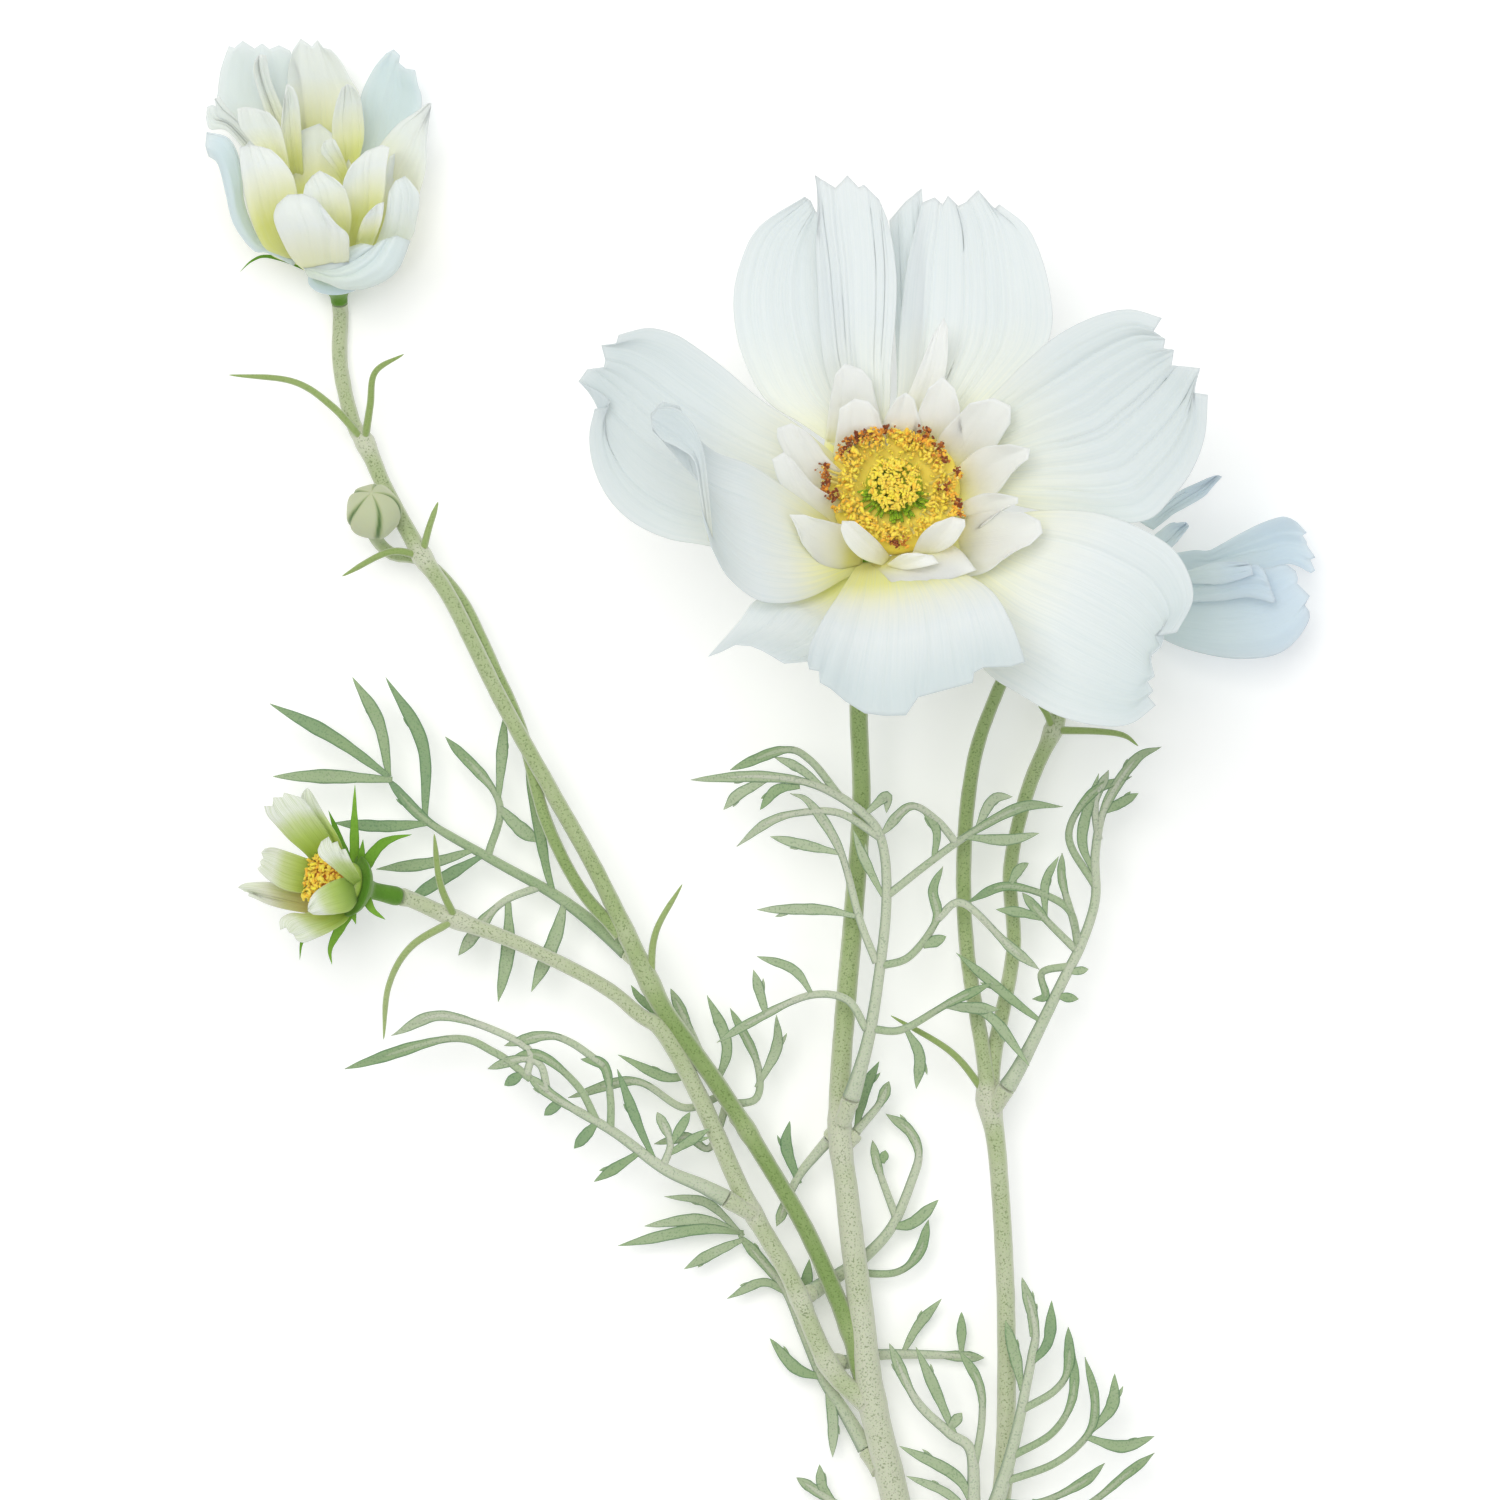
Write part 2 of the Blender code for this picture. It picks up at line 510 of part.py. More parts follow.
def blade(curve, width, thickness=LEAFLET_THICKNESS, root=0.6):
    """A pointed blade with a ridge along its upper face, widest at two thirds of its length."""
    halves = []
    for index in range(len(curve)):
        along = index / (len(curve) - 1)
        swell = root + (1 - root) * math.sin(math.pi * min(1, along / 0.66) / 2)
        point = 1 if along < 0.66 else 1 - 0.9 * ((along - 0.66) / 0.34) ** 1.5
        halves.append((0.58 * width * swell * point, max(0.6 * thickness * min(1, point + 0.35), 0.15)))
    return sweep(curve, halves, 3)


def rachis(curve):
    halves = []
    for index in range(len(curve)):
        along = index / (len(curve) - 1)
        halves.append((RACHIS_WIDTH / 2 * (1 - 0.62 * along), LEAFLET_THICKNESS / 2 * (1.35 - 0.5 * along)))
    return sweep(curve, halves, 4)


def sheet(surface, along, across, thickness):
    """A thin closed sheet round surface(u, v), split into triangles alike on both faces."""
    shape = bmesh.new()
    nudge = 1e-3
    faces = ([], [])
    for i in range(along + 1):
        rows = ([], [])
        for j in range(across + 1):
            u, v = i / along, 2 * j / across - 1
            lengthwise = surface(min(u + nudge, 1), v) - surface(max(u - nudge, 0), v)
            crosswise = surface(u, min(v + nudge, 1)) - surface(u, max(v - nudge, -1))
            normal = lengthwise.cross(crosswise).normalized()
            for row, side in zip(rows, (1, -1)):
                row.append(shape.verts.new((surface(u, v) + normal * (side * thickness / 2)) * MM))
        for grid, row in zip(faces, rows):
            grid.append(row)
    for grid, order in zip(faces, (1, -1)):
        for low, high in zip(grid, grid[1:]):
            for j in range(across):
                a, b, c, d = low[j], low[j + 1], high[j + 1], high[j]
                halves = ((a, b, c), (a, c, d)) if j < across / 2 else ((a, b, d), (b, c, d))
                for corners in halves:
                    shape.faces.new(corners[::order])
    front, back = faces
    rims = (
        ([row[0] for row in front], [row[0] for row in back]),
        ([row[-1] for row in back], [row[-1] for row in front]),
        (back[0], front[0]),
        (front[-1], back[-1]),
    )
    for first, second in rims:
        for j in range(len(first) - 1):
            shape.faces.new((first[j], first[j + 1], second[j + 1]))
            shape.faces.new((first[j], second[j + 1], second[j]))
    bmesh.ops.recalc_face_normals(shape, faces=shape.faces)
    return shape


def petal_surface(petal):
    """The petal's middle surface in its bloom's frame: u from root to tip, v from edge to edge."""
    teeth = petal.across / 2

    def surface(u, v):
        tooth = abs((v + 1) * teeth % 2 - 1)
        reach = 1 - 0.16 * v**2 - petal.teeth * tooth
        s = u * reach
        lift = math.radians(petal.lift)
        bend = math.radians(petal.bend) or 1e-6
        radius = petal.root[0] + petal.length * (math.sin(lift + bend * s) - math.sin(lift)) / bend
        height = petal.root[1] - petal.length * (math.cos(lift + bend * s) - math.cos(lift)) / bend
        slope = lift + bend * s
        swell = 0.3 + 0.7 * math.sin(math.pi / 2 * min(1, s / 0.62)) ** 1.1
        shoulder = 1 - 0.3 * max(0, (s - 0.62) / 0.38) ** 2
        half = petal.width / 2 * swell * shoulder
        roll = math.radians(petal.roll) * s
        normal = Vector((-math.sin(slope), 0, math.cos(slope)))
        aside = Vector((0, 1, 0)) * math.cos(roll) + normal * math.sin(roll)
        up = normal * math.cos(roll) - Vector((0, 1, 0)) * math.sin(roll)
        sway = Vector((0, petal.sway * math.sin(math.pi * s), 0))
        point = Vector((radius, 0, height)) + sway + aside * (half * v) + up * (petal.cup * half * v**2)
        return Matrix.Rotation(math.radians(petal.turn), 3, "Z") @ point

    return surface


def bloom_frame(bloom):
    """From the bloom's own frame, Z along its axis, to the spray's, both in millimetres."""
    axis = Vector(bloom.axis).normalized()
    right = (Vector((1, 0, 0)) - axis * axis.x).normalized()
    if abs(axis.x) > 0.7:
        right = axis.cross(Vector((0, 0, 1))).normalized()
    turn = Matrix((right, axis.cross(right), axis)).transposed()
    return Matrix.Translation(Vector(bloom.centre) * MM) @ turn.to_4x4()


def turned(profile, sides, placed=None):
    """A closed solid of revolution from (height, radius) pairs."""
    shape = bmesh.new()
    rings = []
    for height, radius in profile:
        rings.append([
            shape.verts.new(Vector((radius * math.cos(2 * math.pi * k / sides),
                                    radius * math.sin(2 * math.pi * k / sides), height)) * MM)
            for k in range(sides)
        ])
    for ring, following in zip(rings, rings[1:]):
        for k in range(sides):
            after = (k + 1) % sides
            shape.faces.new((ring[k], ring[after], following[after], following[k]))
    shape.faces.new(rings[0][::-1])
    shape.faces.new(rings[-1])
    bmesh.ops.triangulate(shape, faces=shape.faces)
    if placed:
        shape.transform(placed)
    return shape


def islands(shape):
    """The vertices of each connected part of the mesh, the largest part first."""
    left = set(shape.verts)
    found = []
    while left:
        island = {left.pop()}
        edge = list(island)
        while edge:
            beside = {link.other_vert(vert) for vert in edge for link in vert.link_edges}
            edge = list(beside - island)
            island |= beside
        left -= island
        found.append(island)
    return sorted(found, key=len, reverse=True)


def tidy(mesh):
    """Fill the hollows and drop the scraps that a union leaves, and merge the slivers in its flat faces."""
    shape = bmesh.new()
    shape.from_mesh(mesh)
    bmesh.ops.dissolve_limit(shape, angle_limit=FLAT_ANGLE, verts=shape.verts, edges=shape.edges)
    loose = [vert for island in islands(shape)[1:] for vert in island]
    bmesh.ops.delete(shape, geom=loose, context="VERTS")
    bmesh.ops.triangulate(shape, faces=shape.faces)
    shape.to_mesh(mesh)
    shape.free()


def join(name, shapes, material):
    """One object from shapes that overlap, fused into a single solid."""
    group = bpy.data.collections.new(name + "_shapes")
    body = None
    for shape in shapes:
        mesh = bpy.data.meshes.new(name)
        shape.to_mesh(mesh)
        shape.free()
        made = bpy.data.objects.new(name, mesh)
        if body is None:
            body = made
            body.name = name
            bpy.context.scene.collection.objects.link(body)
        else:
            group.objects.link(made)
    if group.objects:
        union = body.modifiers.new("Union", "BOOLEAN")
        union.operation = "UNION"
        union.operand_type = "COLLECTION"
        union.collection = group
        union.solver = "EXACT"
        graph = bpy.context.evaluated_depsgraph_get()
        fused = bpy.data.meshes.new_from_object(body.evaluated_get(graph))
        body.modifiers.clear()
        body.data = fused
        tidy(fused)
        for made in list(group.objects):
            bpy.data.objects.remove(made)
    bpy.data.collections.remove(group)
    body.data.materials.clear()
    body.data.materials.append(finish(material))
    return body


def make_stems():
    """The branched stems with their bracts and the sockets that the leaves leave from."""
    shapes = [stem(name) for name in STEMS]
    shapes += [blade(smooth(route, LEAFLET_STEP), BRACT_WIDTH, 0.9, 0.9) for route in BRACTS]
    for leaf in LEAVES.values():
        socket, _ = cut_at(leaf.curve(leaf.rachis, RACHIS_STEP), leaf.socket)
        shapes.append(sweep(socket, [(SOCKET_RADIUS, SOCKET_RADIUS)] * len(socket), 6))
    return join("stems", shapes, "stem")


def make_leaf(name, leaf):
    _, free = cut_at(leaf.curve(leaf.rachis, RACHIS_STEP), leaf.socket + GAP)
    shapes = [rachis(free)]
    shapes += [blade(leaf.curve(pinna, LEAFLET_STEP), LEAFLET_WIDTH) for pinna in leaf.pinnae]
    return join(name, shapes, "leaf")


def make_petals(name, bloom, material):
    placed = bloom_frame(bloom)
    shapes = [turned([(-PLATE_HALF, bloom.plate), (PLATE_HALF, bloom.plate)], 16, placed)]
    for petal in bloom.petals:
        shape = sheet(petal_surface(petal), petal.along, petal.across, PETAL_THICKNESS)
        shape.transform(placed)
        shapes.append(shape)
    return join(name, shapes, material)


def make_calyx(name, bloom):
    """The cup under the petals, with its bracts spread below them."""
    placed = bloom_frame(bloom)
    shapes = [turned(bloom.calyx, 12, placed)]
    height, radius = bloom.calyx[-2]
    for turn, lift, length, width in bloom.bracts:
        out = Vector((math.cos(math.radians(turn)), math.sin(math.radians(turn)), 0))
        slope = math.radians(lift)
        root = out * (radius - 1.2) + Vector((0, 0, height))
        tip = root + out * (length * math.cos(slope)) + Vector((0, 0, length * math.sin(slope)))
        shape = blade([root, root.lerp(tip, 0.6), tip], width, 0.9, 0.9)
        shape.transform(placed)
        shapes.append(shape)
    return join(name, shapes, "calyx")


def make_disc(name, bloom):
    """A dome on the plate, with florets over it and a ring of anthers leaning out of it."""
    placed = bloom_frame(bloom)
    foot = PLATE_HALF + GAP
    rise = 0.42 * bloom.disc
    dome = [(foot, bloom.disc), (foot + rise * 0.55, bloom.disc * 0.86), (foot + rise, bloom.disc * 0.4)]
    shapes = [turned(dome, 12, placed)]
    golden = math.pi * (3 - math.sqrt(5))
    for index in range(bloom.florets):
        reach = bloom.disc * 0.9 * math.sqrt((index + 0.5) / bloom.florets)
        out = Vector((math.cos(index * golden), math.sin(index * golden), 0))
        root = out * (reach * 0.8) + Vector((0, 0, foot + 0.4 * rise))
        tip = out * (reach * 1.12) + Vector((0, 0, foot + rise + 1.7 - 0.12 * reach))
        shape = sweep([root, tip], [(0.5, 0.5), (0.7, 0.7)], 3)
        shape.transform(placed)
        shapes.append(shape)
    for index in range(bloom.anthers):
        angle = 2 * math.pi * (index + 0.3 * (index % 2)) / bloom.anthers
        out = Vector((math.cos(angle), math.sin(angle), 0))
        root = out * (bloom.disc * 0.72) + Vector((0, 0, foot + 0.5 * rise))
        tip = out * (bloom.disc + 3.6 + 0.7 * (index % 2)) + Vector((0, 0, foot + rise + 2.6))
        shape = sweep([root, tip], [(0.4, 0.4), (0.6, 0.6)], 3)
        shape.transform(placed)
        shapes.append(shape)
    return join(name, shapes, "disc")


def make_bud(name, centre, axis, radius):
    """A ribbed ball, drawn out a little at its tip."""
    shape = bmesh.new()
    poles = [shape.verts.new((0, 0, -radius * MM)), shape.verts.new((0, 0, 1.08 * radius * MM))]
    rings = []
    for i in range(1, BUD_RINGS):
        polar = math.pi * i / BUD_RINGS
        ring = []
        for k in range(BUD_SIDES):
            angle = 2 * math.pi * k / BUD_SIDES
            rib = 1 + 0.04 * math.cos(BUD_RIBS * angle)
            out = radius * math.sin(polar) * rib
            ring.append(shape.verts.new(Vector((out * math.cos(angle), out * math.sin(angle),
                                                -radius * math.cos(polar))) * MM))
        rings.append(ring)
    for ring, following in zip(rings, rings[1:]):
        for k in range(BUD_SIDES):
            after = (k + 1) % BUD_SIDES
            shape.faces.new((ring[k], ring[after], following[after], following[k]))
    for k in range(BUD_SIDES):
        after = (k + 1) % BUD_SIDES
        shape.faces.new((poles[0], rings[0][after], rings[0][k]))
        shape.faces.new((poles[1], rings[-1][k], rings[-1][after]))
    bmesh.ops.triangulate(shape, faces=shape.faces)
    bmesh.ops.recalc_face_normals(shape, faces=shape.faces)
    turn = Vector((0, 0, 1)).rotation_difference(Vector(axis)).to_matrix().to_4x4()
    shape.transform(Matrix.Translation(Vector(centre) * MM) @ turn)
    return join(name, [shape], "bud")


def stand_at_origin(objects):
    """Move the spray so that the middle of its bounding box's bottom is the origin."""
    corners = [made.matrix_world @ vert.co for made in objects for vert in made.data.vertices]
    low = Vector([min(corner[axis] for corner in corners) for axis in range(3)])
    high = Vector([max(corner[axis] for corner in corners) for axis in range(3)])
    shift = Matrix.Translation(-Vector(((low.x + high.x) / 2, (low.y + high.y) / 2, low.z)))
    for made in objects:
        made.data.transform(shift)


def main():
    for found in list(bpy.data.objects):
        bpy.data.objects.remove(found)
    made = [make_stems()]
    made += [make_leaf(name, leaf) for name, leaf in LEAVES.items()]
    for name, bloom in BLOOMS.items():
        white = {"small": "petals_small", "back": "petals_back"}.get(name, "petals")
        made.append(make_petals(f"petals_{name}", bloom, white))
        made.append(make_calyx(f"calyx_{name}", bloom))
        made.append(make_disc(f"disc_{name}", bloom))
    made += [make_bud(name, *sizes) for name, sizes in BUDS.items()]
    stand_at_origin(made)


main()
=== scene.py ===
"""Looks of a cut spray of white semi-double cosmos, lying on a pale table.

Routes and outlines are in millimetres in the spray's own plan: X to the right, Y up the spray from its cut
end, Z the height above the table. place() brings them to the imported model's frame in metres.
"""

import math
from dataclasses import dataclass

import bpy
import numpy as np
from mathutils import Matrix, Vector


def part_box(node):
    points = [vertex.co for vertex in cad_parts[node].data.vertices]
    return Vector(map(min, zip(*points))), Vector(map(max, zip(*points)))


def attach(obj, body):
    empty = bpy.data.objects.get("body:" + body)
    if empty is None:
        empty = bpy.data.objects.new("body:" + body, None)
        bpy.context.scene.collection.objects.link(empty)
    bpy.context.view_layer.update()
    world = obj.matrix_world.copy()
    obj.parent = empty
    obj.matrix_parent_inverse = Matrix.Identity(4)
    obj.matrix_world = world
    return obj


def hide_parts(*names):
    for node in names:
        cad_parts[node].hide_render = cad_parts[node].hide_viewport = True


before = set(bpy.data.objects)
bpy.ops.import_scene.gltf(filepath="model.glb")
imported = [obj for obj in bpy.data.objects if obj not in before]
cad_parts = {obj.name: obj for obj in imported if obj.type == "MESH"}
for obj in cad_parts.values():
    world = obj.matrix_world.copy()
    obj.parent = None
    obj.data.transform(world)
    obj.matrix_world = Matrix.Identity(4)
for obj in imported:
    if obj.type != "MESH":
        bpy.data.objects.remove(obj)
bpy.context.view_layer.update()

MM = 0.001
EYE = 2020.0  # height of the camera over the table
LEVEL = 20.0  # height over the table at which the plan is drawn true
FIELD = 225.0  # width of the plan that the camera sees there
SENSOR = 36.0
RELIEF = 0.2 * MM  # depth of the finest relief in a finish, in metres
GAP = 0.3
SEED = 7

NECK = 1.8

# Stems: (x, y, z, radius) along each, from its root to its tip.
STEMS = {
    "main": [(31, -163.5, 2.9, 2.8), (28.5, -145.5, 3.4, 2.7), (25, -127.5, 4.2, 2.3), (21.8, -112.5, 5, 2.2),
             (18.3, -97.5, 6, 2.1), (16.5, -82.5, 7, 1.9), (14.7, -67.5, 8, 1.75), (13.5, -52.5, 9, 1.6),
             (15.8, -22.5, 10, 1.5), (16.8, -7.5, 10.5, 1.4), (16.4, 6, 11, 1.4), (17.2, 19, 13.5, 1.5),
             (18.8, 28, 18, 1.6)],
    "right": [(28.5, -145.5, 3.4, 1.8), (33.5, -128, 4.5, 1.6), (38, -112.5, 5.5, 1.5), (38.7, -87, 7, 1.4),
              (37.5, -63, 8, 1.4), (36, -52.5, 8.5, 1.6), (35.3, -46.5, 9, 1.2), (32.7, -30, 9.4, 1.15),
              (32.3, -15, 9, 1.15), (33.8, -1.5, 8.5, 1.1), (37, 8, 7.8, 1.0)],
    "right_fork": [(36, -52.5, 8.5, 1.5), (37, -45, 8, 1.2), (39.8, -30, 7.2, 1.1), (39.3, -18, 6.7, 1.1),
                   (42, -6, 6.5, 1.1), (45.8, 3, 6.4, 1.2), (47.4, 8, 6.2, 1.2)],
    "left_low": [(18, -99, 6, 1.6), (12, -93, 6.8, 1.5), (6, -79.5, 7.9, 1.4), (-0.8, -67.5, 9.1, 1.4),
                 (-7.5, -52.5, 10.5, 1.35), (-13, -42.5, 12, 1.35), (-16.5, -40, 12.3, 1.15),
                 (-22.5, -35.3, 12.6, 1.1), (-34.5, -29.3, 12.8, 1.1), (-44.3, -25.5, 12.6, 1.25)],
    "left_high": [(15, -87.5, 6.6, 1.4), (9, -73.5, 8, 1.3), (3, -63, 9, 1.3), (-4.5, -51, 10.6, 1.35),
                  (-12, -40.5, 12, 1.4), (-15, -35.3, 12.5, 1.5), (-22.5, -19.5, 12.5, 1.25),
                  (-30, -6, 12, 1.2), (-37.5, 7.5, 11, 1.2), (-45, 22.5, 9.6, 1.2), (-49.5, 29.3, 8.8, 1.3),
                  (-54.8, 39, 7.2, 1.2), (-58.2, 46.5, 6, 1.3), (-60, 49.5, 5.2, 1.15), (-62, 58, 2.4, 1.15)],
    "bud_stalk": [(-19.5, -27.8, 12.3, 1.0), (-25.5, -21, 12.0, 0.95), (-30.8, -10.5, 11.4, 0.95),
                  (-34.5, 3, 9.6, 0.95), (-38.4, 12, 8.8, 0.95), (-43.5, 22.5, 7.4, 0.95),
                  (-49, 28.4, 6.2, 0.95), (-54, 29.6, 5.8, 0.95)],
}
# What each stem carries at its tip, and the radius of its neck there.
CARRIED = {
    "main": ("main", 1.7), "right": ("right_bud", 1.0), "right_fork": ("back", 1.2),
    "left_low": ("small", 1.2), "left_high": ("left", 1.2), "bud_stalk": ("ball_bud", 0.95),
}

# Bracts at the nodes of the stems: (x, y, z) from the node to the tip.
BRACTS = [
    [(-58.2, 46.5, 7), (-63, 51.8, 8.4), (-69, 55.6, 9), (-78.6, 56.6, 8)],
    [(-58.2, 46.5, 7), (-57.3, 52, 8.6), (-56.5, 57, 9.4), (-52.2, 59.7, 9.2)],
    [(-49.5, 29.3, 9.2), (-54.5, 29.8, 10.6), (-61.5, 26.2, 9.8)],
    [(-49.5, 29.3, 9.2), (-48.4, 33.4, 10.6), (-47, 37.4, 11)],
    [(-15, -35.3, 12.5), (-14.2, -27.5, 14.2), (-10.2, -20.2, 14.6)],
    [(-44.3, -25.5, 13.6), (-46.6, -20, 15.2), (-47.5, -12.6, 15)],
    [(-44.3, -25.5, 13.6), (-51, -29.6, 14.8), (-54.4, -35.6, 13.4), (-55.2, -43.6, 11.4)],
    [(36, -52.5, 8.5), (30.4, -45.6, 10.6), (21.2, -40, 11.2)],
    [(45.8, 3, 7), (44.8, 5.4, 8), (43.2, 7.6, 8.4)],
    [(45.8, 3, 7), (52.6, 2.8, 8.8), (56.4, 2.2, 8.6), (58.6, 0.6, 7.8)],
]


# Colour of each stem at even steps from its foot to its head: 0 is palest, 1 the deepest green.
STEM_TINTS = {
    "main": (-0.1, -0.05, 0, 0.1, 0.65, 0.7, 0.75), "right": (0.05, 0.15, 0.25, 0.55, 0.65),
    "right_fork": (0.3, 0.55, 0.5),
    "left_low": (0.25, 0.25, 0.2, 0.15), "left_high": (0.9, 0.85, 0.8, 0.45, 0.4, 0.35, 0.2),
    "bud_stalk": (0.8, 0.65, 0.4),
}


@dataclass
class Leaf:
    socket: float
    start: float
    level: float
    droop: float
    rachis: list
    pinnae: list
    tone: float = 0.4
    width: float = 1.65


